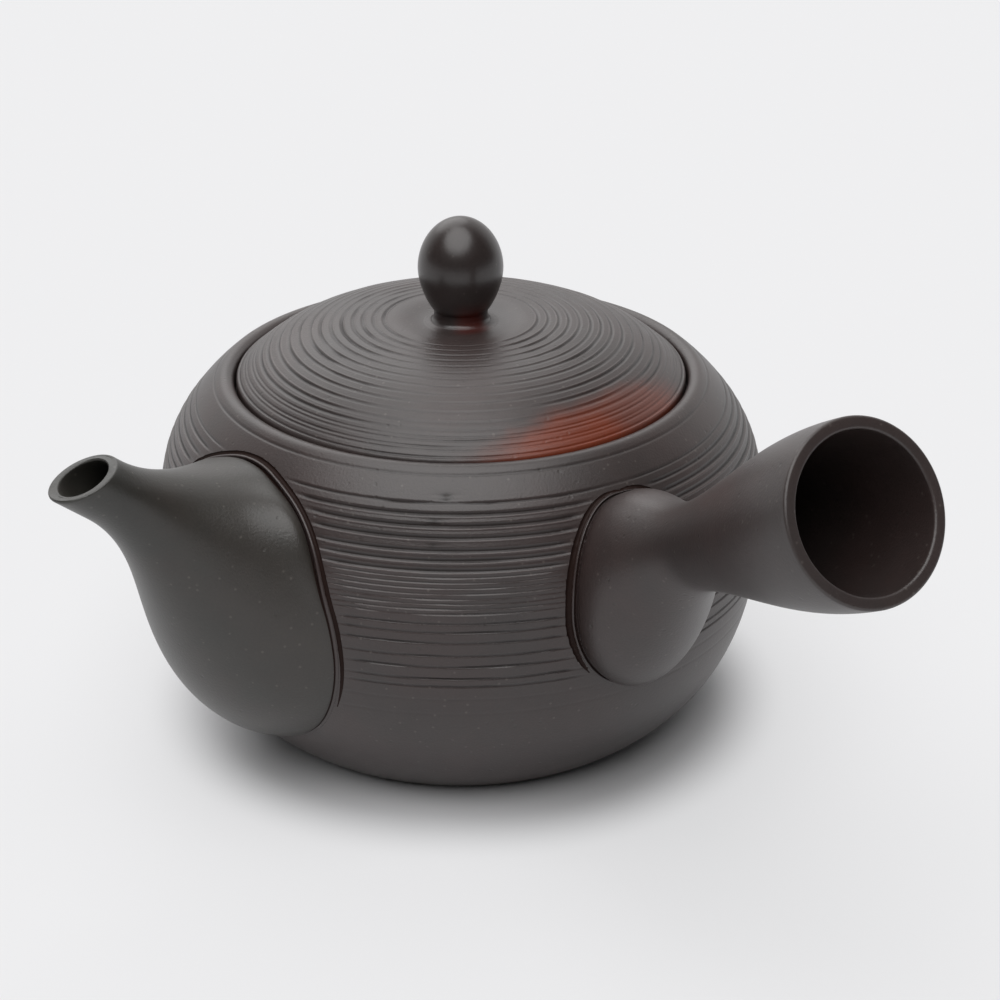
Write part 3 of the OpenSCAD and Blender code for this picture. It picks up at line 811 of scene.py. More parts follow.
def wheel_tree(name, lines=(), by_radius=False, seams=False, scuffs=(), worn_side=None):
    """Geometry tree: turns a profile, and presses comb lines into it by height or by radius."""
    tree, source, sink = new_tree(
        name,
        "GeometryNodeTree",
        {"Geometry": "Geometry", "Turns": "Int", "Seams": "Object", "Material": "Material"},
        {"Geometry": "Geometry"},
    )
    made = turned(tree, source)
    if lines:
        position = put(tree, "GeometryNodeInputPosition").outputs[0]
        radius, turn, height = around_axis(tree, position)
        push = pressed(tree, position, radius if by_radius else height, lines)
        if seams:
            push = wiped(tree, push, position, source["Seams"])
        if worn_side:
            push = worn(tree, push, radius, turn, **worn_side)
        for spot, size in scuffs:
            push = scuffed(tree, push, position, spot, size)
        made = keep(tree, made, "comb", calc(tree, "DIVIDE", push, COMB_FULL_MM * MM))
        normal = put(tree, "GeometryNodeInputNormal").outputs[0]
        step = {0: normal, "Scale": calc(tree, "MULTIPLY", push, -1.0)}
        inward = put(tree, "ShaderNodeVectorMath", step, operation="SCALE").outputs[0]
        made = put(tree, "GeometryNodeSetPosition", {"Geometry": made, "Offset": inward}).outputs[0]
    end_tree(tree, source, sink, made)
    return tree


# %% [markdown]
# ## Seam paths
# The spout and the handle are luted on: the potter scores both faces, wets them with slip and presses.
# What squeezes out is trimmed to a thin bead with a groove beside it.
# The lines could be drawn on the finished mesh, but the curves of both roots give them exactly.
# Four closed paths, two round each root, guide the grooves, the beads and the fading of the comb.

# %% Paths round the roots
PATH_STEPS = 360
SPOUT_GROOVE_OUT, SPOUT_CREASE_OUT = 0.38, -1.1
HANDLE_GROOVE_OUT, HANDLE_CREASE_OUT = 1.35, 0.12
SPREAD_TOP, SPREAD_BULGE, SPREAD_FOOT = 0.35, 0.7, 0.75


def full_turn(sides):
    """Angles round a circle, in degrees."""
    return np.linspace(0, 360, sides, endpoint=False)


def at_least(least, share):
    """A share that doesn't fall under a least value, and still goes up to 1."""
    return least + (1 - least) * share


path_a = full_turn(PATH_STEPS)
beside = np.abs(np.cos(np.radians(path_a)))
upper_half, lower_half = at_least(SPREAD_TOP, beside**SPREAD_BULGE), at_least(SPREAD_FOOT, beside)
handle_spread = np.where(path_a < 180, upper_half, lower_half)
spout_path = spout_edge(path_a, SPOUT_GROOVE_OUT)
spout_crease = spout_edge(path_a, SPOUT_CREASE_OUT)
handle_path = root_point(path_a, HANDLE_GROOVE_OUT * handle_spread)
handle_crease = root_point(path_a, HANDLE_CREASE_OUT)
all_paths = [spout_path, spout_crease, handle_path, handle_crease]
loop = [(i, (i + 1) % PATH_STEPS) for i in range(PATH_STEPS)]
loops = [(a + k * PATH_STEPS, b + k * PATH_STEPS) for k in range(len(all_paths)) for a, b in loop]
seam_paths = new_piece("seam_paths", np.concatenate(all_paths), [], loops)
print("points on the seam paths:", len(seam_paths.data.vertices))

# %% [markdown]
# ## The pot
# The potter throws the pot from one lump, then holds a comb against the turning wall.
# Three bands show: wide scallops on the shoulder, fine lines in the middle, and narrow lines on the belly.
# Below them the wall is smooth, and the base is flat with a softened edge.
# Each line is written as height, width, depth, unevenness and burr, because a real comb leaves no two alike.

# %% Comb lines of the pot
BODY_LINES = [(65.35, 0.5, 0.12, 0.15, 0.0), (61.79, 0.55, 0.17, 0.2, 0.0), (60.34, 0.75, 0.24, 0.15, 0.2)]
BODY_LINES += [(z, 0.85, 0.26, 0.15, 0.35) for z in (58.73, 57.01, 55.14, 53.62, 52.03)]
BODY_LINES += [(z, 0.5, 0.1, 0.5, 0.4) for z in (51.03, 50.12, 49.21, 48.3, 47.39, 46.48, 45.57, 44.66)]
BODY_LINES += [(z, 0.7, 0.17, 0.3, 0.0) for z in (42.78, 41.15, 39.16, 36.64, 34.47, 32.06, 30.5)]
BODY_LINES += [(z, 0.8, 0.05, 0.6, 0.0) for z in (27.68, 24.62)]
SCUFFS = [(on_body(np.array(turn), np.array(z), 0.0), size)
          for turn, z, size in ((-34.1, 62.7, 1.7), (-35.7, 59.2, 1.9), (-35.7, 56.0, 1.4))]
print("comb lines on the pot:", len(BODY_LINES))

# %% Profile of the pot
BASE_R = float(body_r(0))
BASE_RADII = (0, 8, 16, 24, 31, BASE_R - 0.8)
BASE_EDGE = ((BASE_R - 0.25, 0.05), (float(body_r(0.3)) - 0.07, 0.3))
BELLY_FROM_Z, BELLY_STEPS = 0.7, 28
COMB_LOW_Z, COMB_FINE_Z = 23.5, 29.5
FAINT_STEP, ROW_STEP = 0.2, 0.1
RIM_EDGE_Z = 66.2
RIM_OUTSIDE = ((44.15, 66.3), (43.9, 66.43), (43.6, 66.52))
RIM_CREST = ((43.25, 66.55), (42.9, 66.52), (42.55, 66.42), (42.25, 66.28))
RIM_INSIDE = ((42.0, 66.1), (41.8, 65.88), (41.68, 65.65), (41.62, 65.4))
MOUTH_R, THROAT_R = 41.6, 38.0
MOUTH_HEIGHTS, MOUTH_CORNER = (64.9, 64.0, 63.2), ((0.05, 0.15), (0.3, 0.0))
LEDGE_Z, LEDGE_T, LEDGE_SOFT = 62.6, 3.0, 0.3
HOLLOW_STEPS, FLOOR_SOFT = 36, 1.5
FLOOR_CORNER, FLOOR_RADII = ((0.5, 0.4), (1.4, 0.0)), (28, 18, 9, 0)
TURNS = 168


def pot_rows():
    """Points of the pot's profile: radius, height, and 1 where it is combed."""
    rows = [(r, 0, 0) for r in BASE_RADII] + [(r, z, 0) for r, z in BASE_EDGE]
    rows += [(float(body_r(z)), z, 0) for z in np.linspace(BELLY_FROM_Z, COMB_LOW_Z, BELLY_STEPS)]
    faint_z = np.arange(COMB_LOW_Z + FAINT_STEP, COMB_FINE_Z, FAINT_STEP)
    fine_z = np.arange(COMB_FINE_Z, RIM_EDGE_Z, ROW_STEP)
    rows += [(float(body_r(z)), z, 1) for z in (*faint_z, *fine_z)]
    rows += [(r, z, 0) for r, z in (*RIM_OUTSIDE, *RIM_CREST, *RIM_INSIDE)]
    rows += [(MOUTH_R, z, 0) for z in MOUTH_HEIGHTS]
    rows += [(MOUTH_R - inset, LEDGE_Z + rise, 0) for inset, rise in MOUTH_CORNER]
    rows += [(THROAT_R + LEDGE_SOFT, LEDGE_Z, 0), (THROAT_R, LEDGE_Z - LEDGE_SOFT, 0)]
    top = LEDGE_Z - LEDGE_T
    rows += [(THROAT_R, top + LEDGE_SOFT, 0), (THROAT_R + LEDGE_SOFT, top, 0)]
    rows += [(float(hollow_r(z)), z, 0) for z in np.linspace(top, FLOOR_T + FLOOR_SOFT, HOLLOW_STEPS)]
    rows += [(float(hollow_r(FLOOR_T + rise)) - inset, FLOOR_T + rise, 0) for inset, rise in FLOOR_CORNER]
    return rows + [(r, FLOOR_T, 0) for r in FLOOR_RADII]


pot = profile_piece("pot", pot_rows())
run_nodes(pot, wheel_tree("thrown pot", BODY_LINES, seams=True, scuffs=SCUFFS),
          {"Turns": TURNS, "Seams": seam_paths, "Material": body_clay})
print("pot's points:", len(pot.data.vertices))

# %% [markdown]
# ## Outlet and grooves
# A hole behind the strainer lets the tea into the spout.
# The grooves beside the seams were cut with a wooden tool, deep at the top and wiped nearly flat below.
# Bump could only darken them, so they are cut with thin closed tubes that follow the seam paths.
# The faces that a tube leaves behind are marked, and the finish turns them the dark colour of slip, which
# also paints shade into the grooves.

# %% Cut the outlet
OUTLET_R, OUTLET_SIDES, STRAINER_Z = 11.0, 96, 40.0
OUTLET_FROM, OUTLET_PAST = 30, 4

level_out = along(SPOUT_TURN, 0)
hole_ring = OUTLET_R * around(SPOUT_TURN, 0, full_turn(OUTLET_SIDES)) + np.array([0, 0, STRAINER_Z])
outlet_ends = [hole_ring + d * level_out for d in (OUTLET_FROM, BODY_R + OUTLET_PAST)]
carve(pot, ring_piece("outlet", outlet_ends, capped=True))
print("outlet, mm:", 2 * OUTLET_R)

# %% Cut the grooves
TUBE_SIDES = 10
SPOUT_GROOVE_R, SPOUT_CREASE_R = 0.46, 0.5
HANDLE_GROOVE_R, HANDLE_CREASE_R = 0.62, 0.2
GROOVE_LEAST, SPOUT_CREASE_LEAST, HANDLE_CREASE_LEAST = 0.3, 0.45, 0.6
SPOUT_WANDER, HANDLE_CRUMBS = 0.1, 0.22
CRUMB_SEED, GROOVE_SEED, CREASE_SEED = 6, 5, 7
CRUMB_WAVES, CRUMB_CALM = 80, 0.4
SPOUT_FADE, HANDLE_FADE = (0.45, 0.06), (0.32, 0.0)
SPOUT_GROOVE_LIFT, SPOUT_GROOVE_FLATTER, SPOUT_CREASE_LIFT = 0.08, 0.2, 0.1
HANDLE_GROOVE_LIFT, HANDLE_GROOVE_FLATTER, HANDLE_CREASE_LIFT = 0.12, 0.25, 0.02


def tube_rings(path, radius):
    """Rings of a closed tube round a closed path, with its own radius at each step."""
    ahead = np.roll(path, -1, axis=0) - np.roll(path, 1, axis=0)
    ahead /= np.linalg.norm(ahead, axis=1, keepdims=True)
    turn = np.degrees(np.arctan2(path[:, 0], -path[:, 1]))
    normal = body_normal(turn, path[:, 2])
    side = np.cross(ahead, normal)
    angles = np.radians(full_turn(TUBE_SIDES))
    offsets = [np.cos(b) * side + np.sin(b) * normal for b in angles]
    return np.stack([path + radius[:, None] * o for o in offsets], axis=1)


def uneven(seed, waves=9, calm=1.0):
    """A closed wave between -1 and 1, different for each seed, and rougher with more waves and less calm."""
    random = np.random.default_rng(seed)
    a = np.radians(path_a)
    total = sum(random.normal() / k**calm * np.sin(k * a + random.uniform(0, 6.28)) for k in range(2, waves))
    return total / np.abs(total).max()


height_share = (1 + np.sin(np.radians(path_a))) / 2
spout_fade = ease(height_share, *SPOUT_FADE)
handle_fade = ease(height_share, *HANDLE_FADE)
crumbs = 1 + HANDLE_CRUMBS * uneven(CRUMB_SEED, CRUMB_WAVES, CRUMB_CALM)
groove_waves = 1 + SPOUT_WANDER * uneven(GROOVE_SEED)
crease_waves = 1 + SPOUT_WANDER * uneven(CREASE_SEED)
handle_room = np.minimum(handle_spread, at_least(GROOVE_LEAST, handle_fade))
tubes = {
    "spout_groove": (lifted(spout_path, SPOUT_GROOVE_LIFT + SPOUT_GROOVE_FLATTER * (1 - spout_fade)),
                     SPOUT_GROOVE_R * at_least(GROOVE_LEAST, spout_fade) * groove_waves),
    "spout_crease": (lifted(spout_crease, SPOUT_CREASE_LIFT),
                     SPOUT_CREASE_R * at_least(SPOUT_CREASE_LEAST, height_share) * crease_waves),
    "handle_groove": (lifted(handle_path, HANDLE_GROOVE_LIFT + HANDLE_GROOVE_FLATTER * (1 - handle_fade)),
                      HANDLE_GROOVE_R * handle_room * crumbs),
    "handle_crease": (lifted(handle_crease, HANDLE_CREASE_LIFT),
                      HANDLE_CREASE_R * at_least(HANDLE_CREASE_LEAST, beside)),
}
for label, (path, radius) in tubes.items():
    carve(pot, ring_piece(label, tube_rings(path, radius)))
print("grooves:", list(tubes))

# %% Mark the seams
SEAM_REACH, SEAM_SLACK, PATH_FINER = 1.04, 0.12, 5


def finer(path):
    """A closed path with more steps."""
    steps = np.arange(0, len(path), 1 / PATH_FINER)
    closed = np.vstack([path, path[:1]])
    return np.stack([np.interp(steps, np.arange(len(closed)), closed[:, k]) for k in range(3)], axis=1)


def keep_seam(piece, values):
    """Keeps a value for the seam on each face."""
    mark = piece.data.attributes.new("seam", "FLOAT", "FACE")
    mark.data.foreach_set("value", values)
    print(piece.name, "has", int(values.sum()), "faces in the seams")


def mark_seams(piece, tubes):
    """Keeps 1 on each face that lies inside the tube of a seam, and 0 on the others."""
    count = len(piece.data.polygons)
    middles = np.empty(count * 3, np.float32)
    piece.data.polygons.foreach_get("center", middles)
    middles = middles.reshape(-1, 3) / MM
    inside = np.zeros(count, np.float32)
    for path, radius in tubes:
        path = finer(path)
        tree = KDTree(len(path))
        for i, p in enumerate(path):
            tree.insert(Vector(p), i)
        tree.balance()
        low, high = path.min(axis=0) - 1, path.max(axis=0) + 1
        for i in np.flatnonzero(((middles > low) & (middles < high)).all(axis=1)):
            _, step, away = tree.find(middles[i])
            reach = radius[step // PATH_FINER] * SEAM_REACH
            corners = (piece.data.vertices[v].co / MM for v in piece.data.polygons[i].vertices)
            if away < reach and all(tree.find(corner)[2] < reach + SEAM_SLACK for corner in corners):
                inside[i] = 1
    keep_seam(piece, inside)


mark_seams(pot, tubes.values())
hand_over(pot, "pot_body", "pot", body_clay)

# %% [markdown]
# ## The spout
# The spout is thrown as a small open cone and pressed onto the shoulder while both are leather-hard.
# Its root is full, and fullest at the upper side next to the handle, where the light catches it.
# Its neck curves in, and its lip is cut off at a slant so that it doesn't drip.
# It could be sculpted, but rings from the curves above meet the wall and keep the inside open.
# The first few rings, which turn in to the wall, are marked as seam, and so make a dark line round the root:
# painted shade in the crease where the spout meets the wall.

# %% Build the spout
SPOUT_SIDES, SPOUT_STEPS, SPOUT_INNER_STEPS = 180, 57, 33
ROOT_NEAR = (0.0, 0.12, 0.25, 0.4, 0.6, 0.85, 1.15, 1.5, 2.0, 2.6)
SPOUT_ROUND, SPOUT_ROUND_LEAST, SPOUT_ROUND_LEN = 1.7, 0.35, 2.2
SPOUT_BURIED, SUNK = 1.0, 0.5
LIP_ROUND, LIP_STEPS = 0.4, 5
DARK_RINGS, DARK_DOWN_TO = 7, -0.9
CROWN_H, CROWN_A, CROWN_SPAN = 3.2, 30.0, 36.0
CROWN_RISE, CROWN_LEN = 4.0, 10.0
spout_a = full_turn(SPOUT_SIDES)


def quarter_round(size, steps):
    """Steps of a rounded edge, from its side to its end: how far back, and how far in."""
    bends = np.linspace(0, math.pi / 2, steps)
    return [(size * (1 - math.sin(b)), size * (1 - math.cos(b))) for b in bends]


def spout_crown(d):
    """How far the spout swells at the upper side next to the handle, at a distance from its root."""
    aside = np.abs((spout_a - CROWN_A + 180) % 360 - 180)
    fall = 1 - np.sin(np.pi / 2 * np.clip(d / CROWN_LEN, 0, 1))
    return CROWN_H * ease(aside, 0, CROWN_SPAN) * fall * (1 - ease(d, 0, CROWN_RISE))


def spout_rings():
    """Rings of the spout from its root outside to its lip, and back inside."""
    start = spout_start(spout_a)
    end = spout_end(spout_a, SPOUT_LIP_R)
    rise = (1 + np.sin(np.radians(spout_a))) / 2
    tuck = SPOUT_ROUND * at_least(SPOUT_ROUND_LEAST, rise)
    buried = spout_start(spout_a, 0.0, -SPOUT_BURIED)
    rings = [lifted(spout_point(buried, spout_a, 0.0, -tuck), -SUNK)]
    for d in ROOT_NEAR:
        share = np.clip(1 - d / SPOUT_ROUND_LEN, 0, 1)
        inset = tuck * (1 - np.sqrt(1 - share**2))
        rings.append(spout_point(start + d, spout_a, 0.0, spout_crown(d) - inset))
    near = ROOT_NEAR[-1]
    for t in np.linspace(0, 1, SPOUT_STEPS)[1:]:
        s = start + near + t * (end - LIP_ROUND - start - near)
        rings.append(spout_point(s, spout_a, 0.0, spout_crown(s - start)))
    lip = quarter_round(LIP_ROUND, LIP_STEPS)
    rings += [spout_point(end - back, spout_a, 0.0, -inset) for back, inset in lip[1:]]
    inner_end = spout_end(spout_a, SPOUT_LIP_R - SPOUT_LIP_WALL)
    rings += [spout_point(inner_end - back, spout_a, -1.0, inset) for back, inset in lip[::-1]]
    inner_start = spout_start(spout_a, -1.0)
    for t in np.linspace(1, 0, SPOUT_INNER_STEPS)[1:]:
        rings.append(spout_point(inner_start + t * (inner_end - LIP_ROUND - inner_start), spout_a, -1.0))
    return rings + [lifted(rings[-1], -SUNK)]


spout = ring_piece("spout_thrown", spout_rings())
# Painted shade: the rings that tuck into the crease at the root take the dark seam colour.
dark = np.zeros((len(spout.data.polygons) // SPOUT_SIDES, SPOUT_SIDES), np.float32)
dark[:DARK_RINGS] = np.sin(np.radians(spout_a)) > DARK_DOWN_TO
keep_seam(spout, dark.ravel())
hand_over(spout, "spout", "pot", spout_clay)

# %% [markdown]
# ## The handle
# The hollow handle stays cool, because only air and a thin wall lead the heat along it.
# It is thrown upside down like a small vase: a flared mouth, a narrow neck and a domed root.
# A turned profile would do for the tube, but not for the oval root, so the handle is rings as well.

# %% Build the handle
HANDLE_SIDES, HANDLE_STEPS, HANDLE_INNER_STEPS = 160, 41, 30
DOME_NEAR, DOME_FROM, DOME_STEPS, DOME_INNER_STEPS = (0, 0.01, 0.02, 0.035, 0.05), 0.075, 30, 20
DOME_ROUND, DOME_ROUND_LEN, DOME_BURIED = 0.5, 0.05, 0.6
MOUTH_ROUND, MOUTH_STEPS = 0.5, 6
handle_a = full_turn(HANDLE_SIDES)


def handle_rings():
    """Rings of the handle from its root outside to its mouth, and back inside."""
    rings = [root_point(handle_a, -DOME_BURIED, -SUNK)]
    for t in (*DOME_NEAR, *np.linspace(DOME_FROM, 1, DOME_STEPS)):
        inset = DOME_ROUND * (1 - math.sqrt(1 - max(1 - t / DOME_ROUND_LEN, 0) ** 2))
        rings.append(dome_point(t, handle_a, -inset))
    for s in np.linspace(HANDLE_DOME_S, HANDLE_LEN - MOUTH_ROUND, HANDLE_STEPS)[1:]:
        rings.append(handle_point(s, handle_a))
    mouth = quarter_round(MOUTH_ROUND, MOUTH_STEPS)
    rings += [handle_point(HANDLE_LEN - back, handle_a, -inset) for back, inset in mouth[1:]]
    rings += [handle_point(HANDLE_LEN - back, handle_a, inset - HANDLE_WALL) for back, inset in mouth[::-1]]
    for s in np.linspace(HANDLE_LEN - MOUTH_ROUND, HANDLE_DOME_S, HANDLE_INNER_STEPS)[1:]:
        rings.append(handle_point(s, handle_a, -HANDLE_WALL))
    for t in np.linspace(1, 0, DOME_INNER_STEPS)[1:]:
        rings.append(dome_point(t, handle_a, -HANDLE_WALL))
    return rings + [root_point(handle_a, -HANDLE_WALL, -SUNK)]


handle = ring_piece("handle_thrown", handle_rings())
hand_over(handle, "handle", "pot", body_clay)

# %% [markdown]
# ## The slip beads
# A bead is a thin roll of slip that was drawn along the joint with a wooden tool.
# Its height and width wander a little, and at the bottom it was wiped nearly flat.
# A curve with a round bevel is the usual way, but a bead is no round cord: it lies flat on the wall.
# So rings of points run along it, over its back and along its underside.

# %% Build the beads
BEAD_FADED, BEAD_BACK, BEAD_UNDER = 0.3, 0.6, 0.25
BEAD_HEIGHT_WANDER, BEAD_WIDTH_WANDER = 0.12, 0.08
BEAD_OVER = np.linspace(0, 1, 11)
SPOUT_BEAD = {"start": -0.6, "width": 0.6, "height": 0.32, "seed": 21}
HANDLE_BEAD = {"start": 0.3, "width": 0.45, "height": 0.34, "seed": 31}


def bead_rings(edge, start, width, height, seed):
    """Rings along a bead: over its back from the inner to the outer foot, and along its underside."""
    high = height * at_least(BEAD_FADED, height_share) * (1 + BEAD_HEIGHT_WANDER * uneven(seed))
    wide = width * (1 + BEAD_WIDTH_WANDER * uneven(seed + 1))
    rings = [edge(start + c * wide, high * math.sin(math.pi * c) ** BEAD_BACK) for c in BEAD_OVER]
    return rings + [edge(start + c * wide, -BEAD_UNDER) for c in (1.0, 0.5, 0.0)]


def spout_bead_edge(out, lift):
    """A line of the spout's bead."""
    return spout_edge(path_a, out, lift)


def handle_bead_edge(out, lift):
    """A line of the handle's bead."""
    return root_point(path_a, out * handle_spread, lift)


spout_seam = ring_piece("spout_bead", bead_rings(spout_bead_edge, **SPOUT_BEAD))
hand_over(spout_seam, "spout_seam", "pot", body_clay)
handle_seam = ring_piece("handle_bead", bead_rings(handle_bead_edge, **HANDLE_BEAD))
hand_over(handle_seam, "handle_seam", "pot", body_clay)

# %% [markdown]
# ## The strainer
# Inside the pot a small dome of clay covers the outlet, pierced while it was soft.
# It is the cap of a ball, and its edge is found on the wall by halving, as the spout's is.
# The holes are a repeat, so a geometry tree lays them out in rings and cuts them all at once.

# %% Dome of the strainer
STRAINER_R, STRAINER_WALL, STRAINER_DEPTH = 18.0, 2.0, 10.0
CAP_SIDES, CAP_SHARES = 96, np.linspace(0.02, 1, 18)
strainer_mid = float(hollow_r(STRAINER_Z)) - STRAINER_DEPTH + STRAINER_R


def cap_rings(radius, shares):
    """Rings of a ball's cap inside the pot, from its middle to the wall."""
    a = full_turn(CAP_SIDES)
    centre = strainer_mid * level_out + np.array([0, 0, STRAINER_Z])

    def point(open_angle):
        """Points of the cap at an angle from its middle."""
        bend = np.radians(open_angle)[..., None]
        return centre + radius * (-np.cos(bend) * level_out + np.sin(bend) * around(SPOUT_TURN, 0, a))

    low, high = np.zeros(CAP_SIDES), np.full(CAP_SIDES, 90.0)
    for _ in range(HALVINGS):
        mid = (low + high) / 2
        p = point(mid)
        beyond = np.hypot(p[:, 0], p[:, 1]) > hollow_r(p[:, 2]) - LUTE_GAP
        high = np.where(beyond, mid, high)
        low = np.where(beyond, low, mid)
    return [point(share * low) for share in shares]


dome = cap_rings(STRAINER_R, CAP_SHARES) + cap_rings(STRAINER_R - STRAINER_WALL, CAP_SHARES[::-1])
strainer = ring_piece("strainer_dome", dome, capped=True)
print("dome's points:", len(strainer.data.vertices))

# %% Pierce the strainer
PIERCE_D, PIERCE_PITCH, PIERCE_RINGS = 1.7, 3.2, 3
PIERCE_LEN, PIERCE_SIDES, FIRST_RING = 14, 24, 6


def pierced_tree():
    """Geometry tree: rings of round holes through a dome."""
    tree, source, sink = new_tree(
        "pierced dome",
        "GeometryNodeTree",
        {"Geometry": "Geometry", "Pitch": "Float", "Hole radius": "Float", "Length": "Float",
         "Place": "Vector", "Turn": "Vector", "Material": "Material"},
        {"Geometry": "Geometry"},
    )
    join = put(tree, "GeometryNodeJoinGeometry")
    pin_size = {"Vertices": PIERCE_SIDES, "Radius": source["Hole radius"], "Depth": source["Length"]}
    pin = put(tree, "GeometryNodeMeshCylinder", pin_size).outputs["Mesh"]
    spots = [put(tree, "GeometryNodePoints", {"Count": 1}).outputs[0]]
    for ring in range(1, PIERCE_RINGS + 1):
        size = {"Vertices": FIRST_RING * ring, "Radius": calc(tree, "MULTIPLY", source["Pitch"], float(ring))}
        spots.append(put(tree, "GeometryNodeMeshCircle", size).outputs["Mesh"])
    for spot in spots:
        pins = put(tree, "GeometryNodeInstanceOnPoints", {"Points": spot, "Instance": pin}).outputs[0]
        tree.links.new(pins, join.inputs[0])
    solid = put(tree, "GeometryNodeRealizeInstances", {0: join.outputs[0]}).outputs[0]
    turn = put(tree, "FunctionNodeEulerToRotation", {0: source["Turn"]}).outputs[0]
    set_up = {"Geometry": solid, "Translation": source["Place"], "Rotation": turn}
    pins = put(tree, "GeometryNodeTransform", set_up).outputs[0]
    cut = put(tree, "GeometryNodeMeshBoolean", {"Mesh 1": source["Geometry"], "Mesh 2": pins},
              operation="DIFFERENCE", solver="MANIFOLD").outputs["Mesh"]
    end_tree(tree, source, sink, cut)
    return tree


pole = (strainer_mid - STRAINER_R) * level_out + np.array([0, 0, STRAINER_Z])
run_nodes(strainer, pierced_tree(), {
    "Pitch": PIERCE_PITCH * MM,
    "Hole radius": PIERCE_D / 2 * MM,
    "Length": PIERCE_LEN * MM,
    "Place": [float(v) * MM for v in pole],
    "Turn": [math.pi / 2, 0.0, math.radians(SPOUT_TURN)],
    "Material": body_clay,
})
hand_over(strainer, "strainer", "pot", body_clay)

# %% [markdown]
# ## The lid
# The lid is thrown off a hump of clay, turned over and trimmed, so its comb lines run round the knob.
# A collar under it drops into the throat and keeps it from sliding off while the tea is poured.
# It is turned on the same wheel as the pot, with its lines placed by radius instead of height.
# Between the spout and the handle its lines are worn, as if by the fingers that hold it while pouring.

# %% Comb lines of the lid
LID_RADII = (14.0, 15.9, 17.9, 19.7, 21.7, 23.7, 25.6, 27.5, 29.5, 31.4, 33.3, 35.2)
LID_LINES = [(r, 0.75, 0.18, 0.4, 0.3) for r in LID_RADII]
LID_LINES += [(r, 0.45, 0.1, 0.4, 0.0) for r in (37.6, 38.2, 39.1, 39.6)]
LID_LINES += [(36.5, 0.7, 0.2, 0.2, 0.2), (40.55, 0.45, 0.14, 0.2, 0.0)]
LID_WORN = {"middle": -31.0, "near": 12.0, "far": 65.0, "least": 0.4, "fresh_r": 37.3}
print("comb lines on the lid:", len(LID_LINES))

# %% Build the lid
LID_R = box_mm("lid")[1][0]
LID_TOP_Z = box_mm("lid")[1][2]
COLLAR_Z = box_mm("lid")[0][2]
LID_EDGE_Z, LID_SEAT_Z, LID_N, LID_WALL = 66.0, 62.7, 3.8, 3.4
COLLAR_R, COLLAR_T, COLLAR_SOFT = 37.5, 2.8, 0.5
COLLAR_IN_Z, COLLAR_OUT_Z = 58.2, 59.5
LID_COMB_R = 13.0
LID_DIP, LID_DIP_FROM, LID_DIP_TO = 0.8, 6.5, 12.5
LID_UNDER_STEPS, LID_UNDER_CORNER, LID_TOP_STEPS = 18, (0.4, 0.5), 24
SEAT_SOFT, SEAT_CORNER, SEAT_HIGH = 0.3, 0.1, 1.2
EDGE_ROUND, EDGE_DROP, EDGE_STEPS = 0.5, 0.45, 6


def lid_z(r):
    """Height of the lid's top at a radius."""
    dip = LID_DIP * ease(r, LID_DIP_FROM, LID_DIP_TO)
    return LID_TOP_Z - (LID_TOP_Z - LID_EDGE_Z) * (r / LID_R) ** LID_N - dip


def lid_rows():
    """Points of the lid's profile, from under its middle round to the middle of its top."""
    inner = COLLAR_R - COLLAR_T
    corner_in, corner_down = LID_UNDER_CORNER
    rows = [(r, lid_z(r) - LID_WALL, 0) for r in np.linspace(0, inner - corner_in, LID_UNDER_STEPS)]
    rows += [(inner, lid_z(inner) - LID_WALL - corner_down, 0), (inner, COLLAR_IN_Z, 0)]
    rows += [(inner, COLLAR_Z + COLLAR_SOFT, 0), (inner + COLLAR_SOFT, COLLAR_Z, 0)]
    rows += [(COLLAR_R - COLLAR_SOFT, COLLAR_Z, 0), (COLLAR_R, COLLAR_Z + COLLAR_SOFT, 0)]
    rows += [(COLLAR_R, z, 0) for z in (COLLAR_OUT_Z, LID_SEAT_Z - SEAT_CORNER)]
    rows += [(r, LID_SEAT_Z, 0) for r in (COLLAR_R + SEAT_CORNER, LID_R - SEAT_SOFT)]
    rows += [(LID_R, z, 0) for z in (LID_SEAT_Z + SEAT_SOFT, LID_EDGE_Z - SEAT_HIGH)]
    turn_r, low_z = LID_R - EDGE_ROUND, LID_EDGE_Z - EDGE_DROP
    for b in np.linspace(0, math.pi / 2, EDGE_STEPS)[:-1]:
        rows.append((turn_r + EDGE_ROUND * math.cos(b), low_z + (lid_z(turn_r) - low_z) * math.sin(b), 0))
    rows += [(r, lid_z(r), 1) for r in np.arange(turn_r, LID_COMB_R, -ROW_STEP)]
    rows += [(r, lid_z(r), 0) for r in np.linspace(LID_COMB_R - ROW_STEP, 0, LID_TOP_STEPS)]
    return rows


lid = profile_piece("lid_thrown", lid_rows())
run_nodes(lid, wheel_tree("thrown lid", LID_LINES, by_radius=True, worn_side=LID_WORN),
          {"Turns": TURNS, "Material": lid_clay})

# %% Cut the air hole
AIR_HOLE_D, AIR_HOLE_R, AIR_HOLE_TURN, AIR_HOLE_SIDES = 2.6, 11.0, 148.0, 32
AIR_HOLE_PAST = 2


def level_ring(radius, z, sides):
    """A level ring of points round the pot's axis."""
    a = np.radians(full_turn(sides))
    return np.stack([radius * np.sin(a), -radius * np.cos(a), np.full(sides, z)], axis=1)


air_middle = AIR_HOLE_R * along(AIR_HOLE_TURN, 0)
air_heights = (LEDGE_Z, LID_TOP_Z + AIR_HOLE_PAST)
air_ends = [air_middle + level_ring(AIR_HOLE_D / 2, z, AIR_HOLE_SIDES) for z in air_heights]
carve(lid, ring_piece("air_hole", air_ends, capped=True))
hand_over(lid, "lid", "lid", lid_clay)

# %% [markdown]
# ## The knob
# The knob is an egg on a short neck, turned by itself and set on the lid with a ring of slip.
# It was rubbed smooth, so it shines a little more than the combed clay round it.
# A ball pulled into an egg would need a neck joined on, so one profile runs from the foot to the top.

